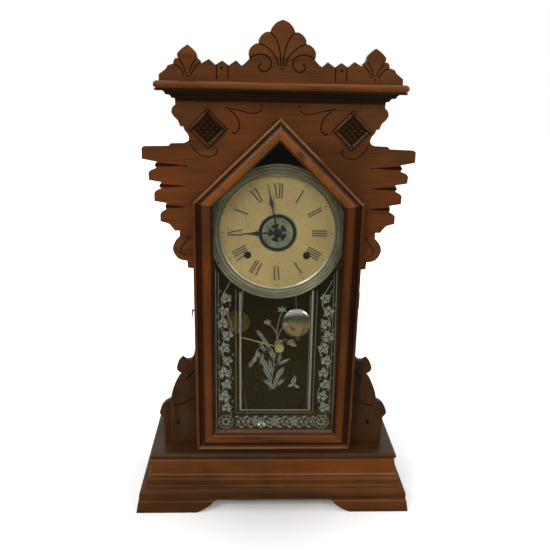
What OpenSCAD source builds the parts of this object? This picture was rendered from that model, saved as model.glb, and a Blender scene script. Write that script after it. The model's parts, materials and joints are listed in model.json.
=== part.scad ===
// Shaped wooden mantel clock with a hinged glass door, strike works and an alarm, in millimetres.
// The frame stands on z = 0, the front faces -Y and the middle of the footprint is at the origin.

/* [Case] */
// Half of the width across the case sides
case_half_w = 91.5; // [89.5:0.5:94.5]
// Height of the base from the floor to the top of its board
base_h = 71; // [66:0.5:78]
// Height of the case sides between base and cornice
side_h = 422.6; // [412.6:0.5:442.6]
// How far the back of the case stands behind the middle
back_y = 62.5; // [60:0.5:68]
// Thickness of the back board
back_t = 6; // [4:0.5:8]
// Thickness of the front panel and face strips
panel_t = 7; // [6:0.5:8]
// How far the diamond blocks stand out
diamond_t = 4; // [3:0.5:5]
// Thickness of the crest board
crest_t = 9; // [7:0.5:11]
// Thickness of the side scroll brackets
bracket_t = 8; // [6:0.5:10]
// Thickness of the case sides
side_t = 9.5; // [8.5:0.5:10.5]

/* [Door] */
// Thickness of the door frame
door_t = 10; // [9.5:0.5:11]
// Gap between the closed door and the face behind it
door_gap = 0.4; // [0.3:0.05:0.6]
// Thickness of the door glass
glass_t = 2; // [1.5:0.25:2.25]

/* [Dial] */
// Room between the bezel and the case sides
bezel_room = 4; // [3:0.5:6]
// Width of the bezel from its edge to the dial
bezel_w = 13.6; // [12.6:0.2:14.6]
// Room between the minute hand's tip and the bezel
minute_room = 6.4; // [4:0.2:10]
// Length of the hour hand
hour_len = 40; // [36:0.5:43]
// Radius of the alarm disc
alarm_r = 17.5; // [16:0.5:19]

/* [Works] */
// Radius of the pendulum bob
bob_r = 18.5; // [16:0.5:19]
// Radius of the gong wire
gong_wire = 1.1; // [0.8:0.1:1.3]
// Number of turns in the gong coil
gong_turns = 4; // [3:1:5]
// Radius of the alarm bell
bell_r = 12; // [10.5:0.5:13]
// Running clearance of pins in their bores
run = 0.05; // [0.03:0.01:0.08]

/* [Hidden] */
$fn = 48;
wd = case_half_w - 91.5;
low = base_h - 71;
up = low + side_h - 422.6;
bk = back_y - 62.5;
face_y = -21 - panel_t;
front_y = face_y - door_gap - door_t;
top_z = base_h + side_h;
dz = 339 + up;
hw = 93.4 + wd;
door_z = 71.9 + low;
corner_z = 376 + up;
slope = 90.5 / hw;
slope_a = atan(slope);
inner_x = case_half_w - side_t;
bezel_r = inner_x - bezel_room;
dial_r = bezel_r - bezel_w;
minute_len = dial_r - minute_room;
nail_x = (bezel_r - 3.5) * cos(27.7);
nail_z = (bezel_r - 3.5) * sin(27.7);
board_y = back_y - back_t;
axis_x = 93.6 + wd;
axis_y = face_y - 2;
hinge_z = [120 + low, 264 + up];
pan_y = -14;
plate_y = -5;
rear_y = 30;
bob_x = 25.9;
bob_z = 227.1 + up;
pivot_x = 14;
pivot_z = 395 + up;
swing_a = atan((bob_x - pivot_x) / (pivot_z - bob_z));
verge_p = [10.4, 34.7];
crutch_a = swing_a * 1.97;
gong_c = [-6, 138 + low];
head_c = [7.7, 175.5 + low];
gong_y = 44 + bk;
gong_r = norm(head_c - gong_c) - 5.9 - gong_wire - 0.6;
hammer_p = [-38, 299 + up];
alarm_c = [-46, 214 + up];
bell_c = [-15.2, 5];

function mir(h) = concat(h, [for (i = [len(h) - 1:-1:0]) if (abs(h[i][0]) > 0.01) [-h[i][0], h[i][1]]]);
function widen(h) = [for (p = h) [p[0] + (p[0] > 50 ? wd : 0), p[1]]];
function lift(h, d) = [for (p = h) [p[0], p[1] + d]];
function cr(a, b, c, d, t) =
    0.5 * (2 * b + (c - a) * t + (2 * a - 5 * b + 4 * c - d) * t * t + (3 * b - a - 3 * c + d) * t * t * t);
function curve(p, n) = [for (i = [0:len(p) - 2]) for (k = [0:n - 1])
    cr(p[max(i - 1, 0)], p[i], p[i + 1], p[min(i + 2, len(p) - 1)], k / n)];
function chain(s) = [for (q = s) each (len(q) == 2 ? [q[0]] : curve(q, 3))];
function nrm(p, i) =
    let (d = p[min(i + 1, len(p) - 1)] - p[max(i - 1, 0)]) [-d[1], d[0]] / norm(d);
function stroke(p, w) = concat([for (i = [0:len(p) - 1]) p[i] + nrm(p, i) * w / 2],
    [for (i = [len(p) - 1:-1:0]) p[i] - nrm(p, i) * w / 2]);
function arc(cx, cz, r, a0, a1, n) = [for (i = [0:n]) [cx + r * cos(a0 + (a1 - a0) * i / n),
    cz + r * sin(a0 + (a1 - a0) * i / n)]];

module on_y(y0, t) {
    translate([0, y0 + t, 0])
        rotate([90, 0, 0])
            linear_extrude(height = t)
                children();
}

module along_x(x0, x1) {
    translate([x0, 0, 0])
        rotate([90, 0, 90])
            linear_extrude(height = x1 - x0)
                children();
}

module bar_y(x, z, r, y0, y1, n = 32) {
    translate([x, y1, z])
        rotate([90, 0, 0])
            cylinder(h = y1 - y0, r = r, $fn = n);
}

module tie(a, b, r) {
    d = b - a;
    translate(a)
        rotate([0, acos(d[2] / norm(d)), atan2(d[1], d[0])])
            cylinder(h = norm(d), r = r, $fn = 20);
}

module turned_y(x, z, y) {
    translate([x, y, z])
        rotate([90, 0, 0])
            rotate_extrude($fn = 72)
                children();
}

// Mitred wooden runs round the base

module front_zone(half) {
    translate([0, 0, -1])
        linear_extrude(height = 120 + low)
            polygon([[-half, 0], [-half - 80, -80], [half + 80, -80], [half, 0]]);
}

module side_zone(half) {
    translate([0, 0, -1])
        linear_extrude(height = 120 + low)
            polygon([[half, 0], [half + 80, -80], [half + 80, back_y], [half, back_y]]);
}

board_pts = lift(concat([[-33, 63.5], [-43.6, 63.5], [-45.2, 61.8], [-45.2, 60]],
    [for (a = [0:18:90]) [-46 - 1.6 * (1 - cos(a)), 47.2 - 4 * sin(a)]], [[-47.6, 41], [-33, 41]]), low);
skirt_pts = concat([[-42, 0]], lift(concat([[-42, 41], [-48.4, 41], [-49.2, 39.4], [-50.6, 38.4], [-51, 37],
    [-51, 31], [-52, 30.2]], arc(-52, 21.8, 7, 90, 180, 6), [[-59.2, 16], [-58.8, 14.6], [-59.8, 14.2],
    [-60.3, 13.6]]), low), [[-62.5, 0]]);

module foot_gap(a, b, t0, t1) {
    pts = [[a, -1], [a - 0.5, 0], [a - 6.7, 2.5], [a - 13, 6.2], [a - 18.3, 9.7], [a - 22, 14],
        [a - 27, 15.5]];
    right = [for (p = pts) [p[0] - b, p[1]]];
    on_y(t0, t1)
        polygon(concat(right, [for (i = [len(right) - 1:-1:0]) [-right[i][0], right[i][1]]]));
}

module base_front_skirt() {
    color("saddlebrown")
        difference() {
            intersection() {
                front_zone(103.5 + wd);
                along_x(-170 - wd, 170 + wd)
                    polygon(skirt_pts);
            }
            foot_gap(94 + wd, 0, -70, 40);
        }
}

module base_side_skirts() {
    color("saddlebrown")
        for (s = [0, 1])
            mirror([s, 0, 0])
                difference() {
                    intersection() {
                        side_zone(103.5 + wd);
                        on_y(-70, back_y + 70)
                            polygon([for (p = skirt_pts) [103.5 + wd - p[0], p[1]]]);
                    }
                    translate([0, bk / 2, 0])
                        rotate([0, 0, 90])
                            foot_gap(33, 0, -180 - wd, 60);
                }
}

module base_front_board() {
    color("sienna")
        intersection() {
            front_zone(103.5 + wd);
            along_x(-170 - wd, 170 + wd)
                polygon(board_pts);
        }
}

module base_side_boards() {
    color("sienna")
        for (s = [0, 1])
            mirror([s, 0, 0])
                intersection() {
                    side_zone(103.5 + wd);
                    on_y(-70, back_y + 70)
                        polygon([for (p = board_pts) [103.5 + wd - p[0], p[1]]]);
                }
}

module nosed_board(half, y0, z0, t) {
    intersection() {
        along_x(-half, half)
            polygon(concat(arc(y0 + t / 2, z0 + t / 2, t / 2, 90, 270, 8),
                [[back_y, z0], [back_y, z0 + t]]));
        on_y(y0 - 1, back_y - y0 + 1)
            polygon(concat(arc(t / 2 - half, z0 + t / 2, t / 2, 90, 270, 8),
                arc(half - t / 2, z0 + t / 2, t / 2, -90, 90, 8)));
    }
}

module base_top_board() {
    color("sienna")
        nosed_board(150.2 + wd, -46.7, 63.5 + low, 7.5);
}

module glue_blocks() {
    color("burlywood") {
        for (s = [-1, 1]) {
            for (y = [-33, back_y - 16])
                translate([s * (128.5 + wd) - 8, y, 30])
                    cube([16, 16, 33.5 + low]);
            on_block(s * 62);
        }
    }
}

module on_block(x) {
    along_x(x - 9, x + 9)
        polygon([[crest_t - 36, top_z + 7.4], [crest_t - 36, top_z + 21], [crest_t - 24, top_z + 7.4]]);
}

// Case boards

module case_left_side() {
    color("saddlebrown")
        mirror([1, 0, 0])
            side_board();
}

module case_right_side() {
    color("saddlebrown")
        side_board();
}

module side_board() {
    translate([inner_x, -21, base_h])
        cube([side_t, board_y + 21, side_h]);
}

module case_back_board() {
    color("peru")
        translate([-case_half_w, board_y, base_h])
            cube([2 * case_half_w, back_t, side_h]);
}

function pent(e) = let (x = 75.8 + wd - e, a = 447 + up - e * 1.39)
    [[-x, 200 + low], [x, 200 + low], [x, a - slope * x], [0, a], [-x, a - slope * x]];

panel_half = lift(widen(chain([
    [[109.4, 493.6], [109.4, 477.3]],
    [[109.4, 477.3], [112.6, 474.2], [113.5, 469.5], [111, 465.2]],
    [[111, 465.2], [107, 461.2], [105, 455.8]],
    [[105, 455.8], [101.6, 455.2]], [[101.6, 455.2], [100.3, 451.7], [97.2, 447.6]],
    [[97.2, 447.6], [96, 443.5], [97.5, 440.1], [102.1, 438]], [[102.1, 438], [115.9, 437.5]],
    [[115.9, 437.5], [117.7, 434.9]], [[117.7, 434.9], [143.4, 434.1]], [[143.4, 434.1], [145.4, 433.4],
    [146, 431.6]], [[146, 431.6], [146.3, 421.3]], [[146.3, 421.3], [130.5, 418.3]],
    [[130.5, 418.3], [133.4, 414.7]], [[133.4, 414.7], [131, 411.7]], [[131, 411.7], [138.2, 408.8]],
    [[138.2, 408.8], [139.9, 406.5]], [[139.9, 406.5], [139.6, 398.9]], [[139.6, 398.9], [126.5, 396.7]],
    [[126.5, 396.7], [129.4, 392.6]], [[129.4, 392.6], [126.8, 389.6]], [[126.8, 389.6], [133, 387]],
    [[133, 387], [134.6, 384.8]], [[134.6, 384.8], [134.6, 376.2]], [[134.6, 376.2], [121.8, 374]],
    [[121.8, 374], [123.3, 370.2]], [[123.3, 370.2], [122.2, 366.6]], [[122.2, 366.6], [127.6, 363.8]],
    [[127.6, 363.8], [128.9, 362]], [[128.9, 362], [129, 353.9]], [[129, 353.9], [122, 352]],
    [[122, 352], [119.5, 350.7], [115.8, 346.5]], [[115.8, 346.5], [113.8, 343.5]],
    [[113.8, 343.5], [108.5, 343.5]]])), up);

module groove_x(x0, x1, z, w, d) {
    for (s = [0, 1])
        mirror([s, 0, 0])
            intersection() {
                along_x(x0 + wd, x1 + wd)
                    polygon([[face_y + d, z + up], [face_y - 1, z - w + up], [face_y - 1, z + w + up]]);
                on_y(face_y - 1, 6)
                    polygon([[x0 + wd, z + up], [x1 + wd, z - w + up], [x1 + wd, z + w + up]]);
            }
}

module engrave(y0, path, w, d, dzz) {
    on_y(y0 - 1, d + 1)
        polygon(stroke(lift(concat(curve(path, 3), [path[len(path) - 1]]), dzz), w));
}

scroll_a = [[57.8, 475.6], [54.5, 474.8], [42.7, 472.6], [32.3, 470], [24.5, 470.4], [19.8, 473.7]];
scroll_b = [[53, 472.6], [49.4, 470], [45.5, 465.5], [43.4, 460.5], [42.9, 455.4], [45.1, 451.1],
    [48.1, 448.9], [50.3, 450.6]];
scroll_c = [[93.8, 437], [89.5, 430.5], [83.9, 425.8], [76.9, 424.2], [70.7, 425.6], [66.7, 429.2],
    [66.4, 432.4], [69, 434]];

module front_panel() {
    color("saddlebrown")
        difference() {
            on_y(face_y, panel_t)
                polygon(mir(panel_half));
            on_y(face_y - 1, panel_t + 2)
                polygon(pent(0));
            groove_x(98.5, 140, 415, 3.2, 2.5);
            groove_x(98.5, 136, 392.7, 3.2, 2.5);
            groove_x(98.5, 130, 370, 3.2, 2.5);
            for (s = [0, 1])
                mirror([s, 0, 0]) {
                    engrave(face_y, scroll_a, 1.2, 1.2, up);
                    engrave(face_y, scroll_b, 1.5, 1.3, up);
                    engrave(face_y, widen(scroll_c), 1.1, 1.2, up);
                    bar_y(19.7, 477.6 + up, 1.2, face_y - 1, face_y + 1.2);
                    bar_y(100 + wd, 414.6 + up, 1.1, face_y - 1, face_y + 3);
                }
        }
}

module face_strips() {
    color("saddlebrown")
        difference() {
            translate([-case_half_w, face_y, base_h])
                cube([2 * case_half_w, panel_t, 272.5 + up - low]);
            translate([-75.8 - wd, face_y - 1, base_h + 21])
                cube([151.6 + 2 * wd, panel_t + 2, 300 + up]);
        }
}

lobe_half = lift(widen(chain([[[93, 343.5], [108.5, 343.5]], [[108.5, 343.5], [108.8, 336]],
    [[108.8, 336], [113.5, 331.4], [116.5, 324.3], [115.5, 318], [111.5, 312], [106.3, 309.5], [101, 308.8]],
    [[101, 308.8], [100.4, 300.5]], [[100.4, 300.5], [93, 300]], [[93, 300], [93, 343.5]]])), up);

module lobe() {
    difference() {
        on_y(-27, 6)
            polygon([for (p = lobe_half) [p[0] < 94 + wd ? case_half_w : p[0], p[1]]]);
        engrave(-27, widen([[98, 338], [101.5, 331], [107, 325], [107.5, 319], [103, 315.5]]), 1.4, 1, up);
    }
}

module lower_lobes() {
    color("saddlebrown")
        for (s = [0, 1])
            mirror([s, 0, 0])
                lobe();
}

bracket_half = lift(widen(chain([[[93, 71], [93, 196]], [[93, 196], [96, 194]],
    [[96, 194], [97.3, 187.7], [100, 183.9], [104.3, 182.9], [107.6, 183.8], [110, 185.9]],
    [[110, 185.9], [113, 183.5], [116.3, 178], [117.1, 172.2], [114.7, 168.2], [110.8, 166.2]],
    [[110.8, 166.2], [116.3, 158.5], [121, 148.7], [124.2, 139.2], [125.6, 130.6]],
    [[125.6, 130.6], [132.5, 126.5], [136.9, 121], [139.3, 114.6], [139.5, 111.6]],
    [[139.5, 111.6], [135.5, 106]], [[135.5, 106], [135, 71]], [[135, 71], [93, 71]]])), low);

module bracket() {
    difference() {
        on_y(-20, bracket_t)
            polygon([for (p = bracket_half) [p[0] < 94 + wd ? case_half_w : p[0], p[1]]]);
        engrave(-20, widen([[95.8, 169.1], [100.2, 165.4], [103.5, 161.7], [106.2, 158]]), 1.8, 1.4, low);
        engrave(-20, widen([[95.8, 132.2], [101.9, 130.7], [106.7, 128], [111.5, 125.2], [116.9, 123.7],
            [122.3, 123.4]]), 1.6, 1.4, low);
        engrave(-20, widen([[117, 103.9], [117, 100], [117.1, 96.7]]), 2.4, 1.8, low);
    }
}

module left_bracket() {
    color("saddlebrown")
        mirror([1, 0, 0])
            bracket();
}

module right_bracket() {
    color("saddlebrown")
        bracket();
}

diamond_half = 14.8;

module diamond_blocks() {
    color("sienna")
        for (s = [-1, 1])
            translate([s * (76 + wd), 0, 453.6 + up])
                rotate([0, 45, 0])
                    difference() {
                        translate([-diamond_half, face_y - diamond_t, -diamond_half])
                            cube([2 * diamond_half, diamond_t, 2 * diamond_half]);
                        for (i = [-1.5:1:1.5])
                            diamond_cuts(i * 4.6);
                        diamond_frame();
                    }
}

module diamond_cuts(c) {
    y = face_y - diamond_t;
    translate([c - 0.5, y - 1, -9.6])
        cube([1, 2, 19.2]);
    translate([-9.6, y - 1, c - 0.5])
        cube([19.2, 2, 1]);
}

module diamond_frame() {
    y = face_y - diamond_t;
    difference() {
        translate([-10.6, y - 1, -10.6])
            cube([21.2, 2.2, 21.2]);
        translate([-9.6, y - 2, -9.6])
            cube([19.2, 4, 19.2]);
    }
}

module cornice_board() {
    color("sienna")
        nosed_board(128.5 + wd, -50, top_z, 7.4);
}

bed_pts = [[0, 480.7], [0.3, 483.6], [3.2, 484], [4.5, 486.5], [5.8, 487.1], [8.7, 487.5], [9.6, 489.6],
    [11.5, 491.3], [17.9, 491.4], [18.6, 493.6]];
bed_run = lift(bed_pts, up);

module bed_front() {
    color("sienna")
        intersection() {
            translate([0, 0, 400])
                linear_extrude(height = 200)
                    polygon([[-109.4 - wd, face_y], [-149.4 - wd, face_y - 40], [149.4 + wd, face_y - 40],
                        [109.4 + wd, face_y]]);
            along_x(-150 - wd, 150 + wd)
                polygon(concat([for (p = bed_run) [face_y - p[0], p[1]]], [[face_y, 493.6 + up]]));
        }
}

module bed_sides() {
    color("sienna")
        for (s = [0, 1])
            mirror([s, 0, 0]) {
                intersection() {
                    translate([0, 0, 400])
                        linear_extrude(height = 200)
                            polygon([[109.4 + wd, face_y], [149.4 + wd, face_y - 40], [149.4 + wd, back_y],
                                [109.4 + wd, back_y]]);
                    on_y(face_y - 40, back_y - face_y + 40)
                        polygon(concat([for (p = bed_run) [109.4 + wd + p[0], p[1]]],
                            [[109.4 + wd, 493.6 + up]]));
                }
                translate([case_half_w, -21, 480.7 + up])
                    cube([17.9, back_y + 21, 12.9]);
            }
}

crest_half = [for (p = chain([[[124.3, 501], [124, 506.8]], [[124, 506.8], [117, 512]],
    [[117, 512], [114.8, 515.5]], [[114.8, 515.5], [109.5, 517.2]], [[109.5, 517.2], [108.7, 520.5]],
    [[108.7, 520.5], [107, 522.5]], [[107, 522.5], [104.5, 522.5]],
    [[104.5, 522.5], [105.2, 526.5], [102.5, 529.8], [99.2, 532.6]], [[99.2, 532.6], [94.7, 535.5]],
    [[94.7, 535.5], [90.5, 532.3]], [[90.5, 532.3], [86.6, 528.3], [85.6, 524]], [[85.6, 524], [84, 522]],
    [[84, 522], [82, 520.5]], [[82, 520.5], [81.7, 517.8]], [[81.7, 517.8], [73.6, 522.3]],
    [[73.6, 522.3], [67.2, 516.9]], [[67.2, 516.9], [60.2, 521.1]], [[60.2, 521.1], [53.7, 516.6]],
    [[53.7, 516.6], [46.4, 521.6]], [[46.4, 521.6], [40.9, 516.7]], [[40.9, 516.7], [37.5, 518.8]],
    [[37.5, 518.8], [33, 523.5]], [[33, 523.5], [33.9, 527.5], [33.3, 531.5], [30.8, 535], [27.4, 537.4],
    [24, 538.3]], [[24, 538.3], [23.6, 541.8], [21.1, 545.7], [16.7, 548.7], [12.3, 549]],
    [[12.3, 549], [11.6, 551.5], [9.2, 555], [5.6, 558.2], [0, 560.4]], [[0, 560.4], [0, 560.4]]]))
    [p[0] + (p[0] > 43 ? wd : 0), p[1] + up + 0]];

module crest_board() {
    c0 = -36;
    color("saddlebrown")
        difference() {
            on_y(c0, crest_t)
                polygon(mir(crest_half));
            bar_y(0, 514 + up, 1, c0 - 1, c0 + 2);
            for (s = [0, 1])
                mirror([s, 0, 0]) {
                    bar_y(95.3 + wd, 505.8 + up, 0.9, c0 - 1, c0 + 2);
                    bar_y(61 + wd, 513.9 + up, 1.3, c0 - 1, c0 + 2);
                    crest_lines(c0);
                }
        }
}

module crest_lines(c0) {
    for (path = palmette_lines)
        engrave(c0, path, 1.3, 1.5, up);
    engrave(c0, [[32.5, 524], [28.8, 526.4], [22.5, 527.8], [16.2, 526.7], [12.4, 523.8], [10.8, 519.1],
        [12.3, 514.9], [15.4, 511.9], [19.8, 511.5], [23, 514.1], [23.4, 517.1], [21, 519.4]], 1.4, 1.5, up);
    for (x = [66 + wd, 54.5 + wd])
        engrave(c0, [[x, 516.3], [x, 510], [x, 503.5]], 1.2, 1.5, up);
    for (path = finial_lines)
        engrave(c0, [for (q = path) q + [wd, 0]], 1.2, 1.5, up);
}

palmette_lines = [[[12, 548.6], [9.1, 545.8], [5.9, 541], [3.4, 534.5], [1.7, 526.5], [1.2, 517]],
    [[23.4, 538], [17.6, 535.9], [12.6, 532.2], [7.9, 527.6], [5, 522.6], [3.4, 517]]];

finial_lines = [[[103.4, 521.9], [101.8, 519.4], [99.8, 516.4], [97.9, 512.3], [96.7, 508.2]],
    [[86.6, 522.4], [88.8, 519.3], [91, 515.7], [92.7, 511.5], [93.9, 508.2]],
    [[107.8, 516.2], [105, 515.2], [102.4, 512.8], [99.9, 509.4], [98.6, 506.6]],
    [[82.9, 518.6], [85.4, 516.6], [87.9, 513.8], [90.3, 510], [91.8, 506.6]]];

// Door

prof = concat([[0, door_t], [0, 1.75]], [for (a = [30:30:180]) [1.75 - 1.75 * cos(a), 1.75 - 1.75 * sin(a)]],
    [[3.5, 3], [6, 3]], [for (a = [30:30:90]) [6 + 4 * sin(a), 3 - 2.2 * (1 - cos(a))]],
    [for (i = [1:6]) [10 + 1.5 * i, 0.8 - 0.8 * sin(30 * i)]],
    [[22, 5], [22, 6.5], [17, 6.5], [17, door_t]]);

function ring(u) = let (x = hw - u, a = corner_z + slope * hw - u * 18 / 22 / cos(slope_a))
    [[-x, door_z + u], [x, door_z + u], [x, a - slope * x], [0, a], [-x, a - slope * x]];

module zone(i, j) {
    o = ring(-2);
    n = ring(24);
    on_y(front_y - 1, door_t + 2)
        polygon([o[i], o[j], n[j], n[i]]);
}

module knuckle_room() {
    for (z = hinge_z) {
        translate([axis_x, axis_y, z - 10.4])
            cylinder(h = 20.8, r = 1.95);
        translate([axis_x - 2.5, axis_y - 0.6, z - 10.4])
            cube([5, 3, 20.8]);
        translate([hw - 0.8, front_y + 2.4, z - 10])
            cube([3, axis_y - front_y - 2.4, 20]);
    }
}

module stile() {
    intersection() {
        zone(1, 2);
        translate([hw, front_y, door_z - 3])
            linear_extrude(height = 360 + up)
                polygon([for (p = prof) [-p[0], p[1]]]);
    }
}

module door_right_stile() {
    color("sienna")
        difference() {
            stile();
            knuckle_room();
        }
}

module door_left_stile() {
    color("sienna")
        difference() {
            mirror([1, 0, 0])
                stile();
            translate([-hw - 1, latch_y, latch_z])
                rotate([0, 90, 0])
                    cylinder(h = 9, r = 0.8);
        }
}

module door_bottom_rail() {
    color("sienna")
        intersection() {
            zone(0, 1);
            along_x(-hw, hw)
                polygon([for (p = prof) [front_y + p[1], door_z + p[0]]]);
        }
}

module sloped_rail() {
    intersection() {
        zone(2, 3);
        translate([hw, front_y, corner_z])
            rotate([0, slope_a - 90, 0])
                translate([0, 0, -40])
                    linear_extrude(height = 220)
                        polygon([for (p = prof) [-p[0] * 18 / 22, p[1]]]);
    }
}

module door_right_slope() {
    color("sienna")
        sloped_rail();
}

module door_left_slope() {
    color("sienna")
        mirror([1, 0, 0])
            sloped_rail();
}

module door_glass() {
    color("lightcyan", 0.35)
        on_y(front_y + 6.5, glass_t)
            polygon(ring(17.2));
}

module glass_beads() {
    color("saddlebrown")
        difference() {
            on_y(front_y + 6.5 + glass_t, door_t - 6.5 - glass_t)
                polygon(ring(17.1));
            on_y(front_y, door_t + 2)
                polygon(ring(20.5));
        }
}

module door_hinge_leaves() {
    color("goldenrod")
        for (z = hinge_z)
            difference() {
                union() {
                    translate([hw - 0.8, front_y + 2.6, z - 9.8])
                        cube([0.8, axis_y - 2 - front_y - 2.6, 19.6]);
                    translate([hw - 0.8, axis_y - 2.6, z - 3.2])
                        cube([0.8, 2.6, 6.4]);
                    translate([axis_x, axis_y, z - 3.2])
                        cylinder(h = 6.4, r = 1.6);
                }
                translate([axis_x, axis_y, z - 12])
                    cylinder(h = 24, r = 0.7 + run);
            }
}

module case_hinge_leaves() {
    color("goldenrod")
        for (z = hinge_z) {
            translate([case_half_w, axis_y + 2.2, z - 9.8])
                cube([0.8, panel_t + 0.4, 19.6]);
            for (e = [-9.8, 3.5]) {
                translate([case_half_w, axis_y, z + e])
                    cube([0.8, 3, 6.3]);
                translate([axis_x, axis_y, z + e])
                    cylinder(h = 6.3, r = 1.6);
            }
            translate([axis_x, axis_y, z - 10.2])
                cylinder(h = 20.4, r = 0.7);
        }
}

latch_y = front_y + 5.4;
latch_z = 252 + up;
latch_x = -hw - 1.5;

module latch_hook() {
    color("dimgray") {
        translate([-hw - 2, latch_y, latch_z])
            rotate([0, 90, 0])
                cylinder(h = 9, r = 0.75);
        translate([-hw - 2.8, latch_y, latch_z])
            rotate([0, 90, 0])
                cylinder(h = 1, r = 1.9);
        tie([latch_x, latch_y, latch_z], [latch_x - 1.4, latch_y + 1.2, latch_z - 5], 0.7);
        tie([latch_x - 1.4, latch_y + 1.2, latch_z - 5], [latch_x - 1.6, latch_y + 3.2, latch_z - 8.6], 0.7);
        translate([latch_x - 1.4, latch_y + 1.2, latch_z - 5])
            sphere(r = 0.85, $fn = 20);
    }
}

// Dial and hands

rim_r = 21.2;

module dial_pan() {
    color("navajowhite")
        translate([0, 0, dz])
            difference() {
                turned_y(0, 0, pan_y + 1.2)
                    polygon([[5, -1.8], [rim_r + 0.4, -1.8], [rim_r + 0.4, 0], [bezel_r - 8, 0],
                        [bezel_r - 8, 1.2], [rim_r + 1, 1.2], [rim_r + 1, 1.6], [rim_r, 1.6], [rim_r, -1.4],
                        [5, -1.4]]);
                for (s = [-1, 1])
                    bar_y(s * 33.7, -26.4, 4.3, -20, 0);
            }
}

module dial_bezel() {
    r = bezel_r;
    color("darkkhaki")
        translate([0, 0, dz])
            difference() {
                turned_y(0, 0, pan_y)
                    polygon(concat([[r - 8, 0], [r - 8, -1.9], [r, -1.9]], arc(r - 1.5, 2.5, 1.5, 0, 180, 8),
                        [[r - 3, 2.2]], arc(r - 4.5, 2.2, 1.5, 0, 180, 8), [[r - 6, 2], [r - 7, 3.1],
                        [r - 8, 2.6], [dial_r + 3, 2.9], [dial_r + 1.6, 2.4], [dial_r + 0.8, 2.9],
                        [dial_r, 2], [dial_r, 0]]));
                for (p = nail_places)
                    bar_y(p[0], p[1], 0.6, -30, 0);
            }
}

nail_places = [for (s = [-1, 1]) for (t = [-1, 1]) [s * nail_x, t * nail_z]];
rail_places = [[42, 54, 30], [18.4, -42, 15.4]];

module dial_blocks() {
    color("burlywood") {
        for (p = nail_places)
            difference() {
                translate([p[0] > 0 ? nail_x - 6 : -inner_x, pan_y + 1.9, dz + p[1] - 7.4])
                    cube([inner_x - nail_x + 6, 14, 14]);
                bar_y(p[0], dz + p[1], 0.6, -30, -7);
            }
        for (p = rail_places)
            difference() {
                translate([-p[0], rear_y + 1.4, dz + p[1] - 6])
                    cube([2 * p[0], board_y - rear_y - 1.4, 12]);
                for (s = [-1, 1])
                    bar_y(s * p[2], dz + p[1], 1.2, 0, rear_y + 13);
            }
    }
}

module fasteners() {
    color("goldenrod") {
        for (p = nail_places)
            union() {
                bar_y(p[0], dz + p[1], 0.6, -16, -7.2, 16);
                turned_y(p[0], dz + p[1], pan_y - 4.04)
                    polygon([[0, -2.1], [0.6, -2.1], [0.6, 0], [1.8, 0], [1.4, 0.8], [0.7, 1.2], [0, 1.3]]);
            }
        for (p = rail_places)
            for (s = [-1, 1])
                union() {
                    bar_y(s * p[2], dz + p[1], 1.2, rear_y - 0.2, rear_y + 12.8, 20);
                    bar_y(s * p[2], dz + p[1], 2.4, rear_y - 1.6, rear_y, 24);
                }
    }
}

module alarm_disc() {
    color("lightgray")
        translate([0, 0, dz])
            difference() {
                union() {
                    bar_y(0, 0, alarm_r, pan_y, pan_y + 0.9, 96);
                    bar_y(0, 0, 4.2, pan_y, -8.4, 40);
                }
                bar_y(0, 0, 3.3 + run, -30, 0, 40);
                for (k = [0:4])
                    on_y(pan_y - 1, 3)
                        polygon(concat(arc(0, 0, 10.6, 72 * k + 8, 72 * k + 64, 6),
                            arc(0, 0, 5.6, 72 * k + 56, 72 * k + 16, 3)));
            }
}

function turn(h, a) = [for (p = h) [p[0] * cos(a) + p[1] * sin(a), p[1] * cos(a) - p[0] * sin(a)]];

function hand(l, s, w) = mir([[w, 3], [0.8, s - 5.5], [1.2, s - 3.8], [2.5, s - 0.6], [2.3, s + 0.8],
    [1.5, s + 3.2], [0.85, s + 6], [0.6, s + 9], [0.4, l - 1], [0, l]]);

minute_a = 347.8;
hour_a = 269;

module hour_hand() {
    color("black")
        difference() {
            union() {
                on_y(-16.2, 0.8)
                    polygon(lift(turn(hand(hour_len, hour_len * 0.59, 1.2), hour_a), dz));
                bar_y(0, dz, 5, -16.3, -15.3);
            }
            bar_y(0, dz, 3, -20, -10);
        }
}

module minute_hand() {
    color("black")
        difference() {
            union() {
                on_y(-18.4, 0.8)
                    polygon(lift(turn(hand(minute_len, minute_len * 0.61, 1.2), minute_a), dz));
                bar_y(0, dz, 3.6, -18.5, -17.5);
            }
            bar_y(0, dz, 2, -20, -10);
        }
    color("goldenrod")
        difference() {
            bar_y(0, dz, 2.6, -19.6, -18.5);
            bar_y(0, dz, 2, -22, -10);
        }
}

// Wheels of the works, each round its own arbor

function teeth(n, m, ph) = let (r = n * m / 2, q = 360 / n) [for (i = [0:n - 1]) let (a = ph + q * i)
    each [[(r - 1.1 * m) * cos(a - 0.26 * q), (r - 1.1 * m) * sin(a - 0.26 * q)],
    [(r + 0.85 * m) * cos(a - 0.1 * q), (r + 0.85 * m) * sin(a - 0.1 * q)],
    [(r + 0.85 * m) * cos(a + 0.1 * q), (r + 0.85 * m) * sin(a + 0.1 * q)],
    [(r - 1.1 * m) * cos(a + 0.26 * q), (r - 1.1 * m) * sin(a + 0.26 * q)]]];
function mesh_at(pha, na, a, b, nb) =
    let (d = b - a, be = atan2(d[1], d[0]), f = (be - pha) * na / 360 - floor((be - pha) * na / 360))
    be + 180 + 180 / nb + f * 360 / nb;

module wheel(p, n, m, ph, y0, t, hub) {
    r = n * m / 2;
    translate([p[0], 0, p[1] + dz]) {
        difference() {
            on_y(y0, t)
                polygon(teeth(n, m, ph));
            bar_y(0, 0, r - 2.6 * m - 0.6, y0 - 1, y0 + t + 1, 48);
        }
        for (a = [0, 90])
            rotate([0, a + 20, 0])
                translate([-r + 2.6 * m, y0, -0.9])
                    cube([2 * r - 5.2 * m, t, 1.8]);
        bar_y(0, 0, hub, y0 - 0.3, y0 + t + 0.3);
    }
}

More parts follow.
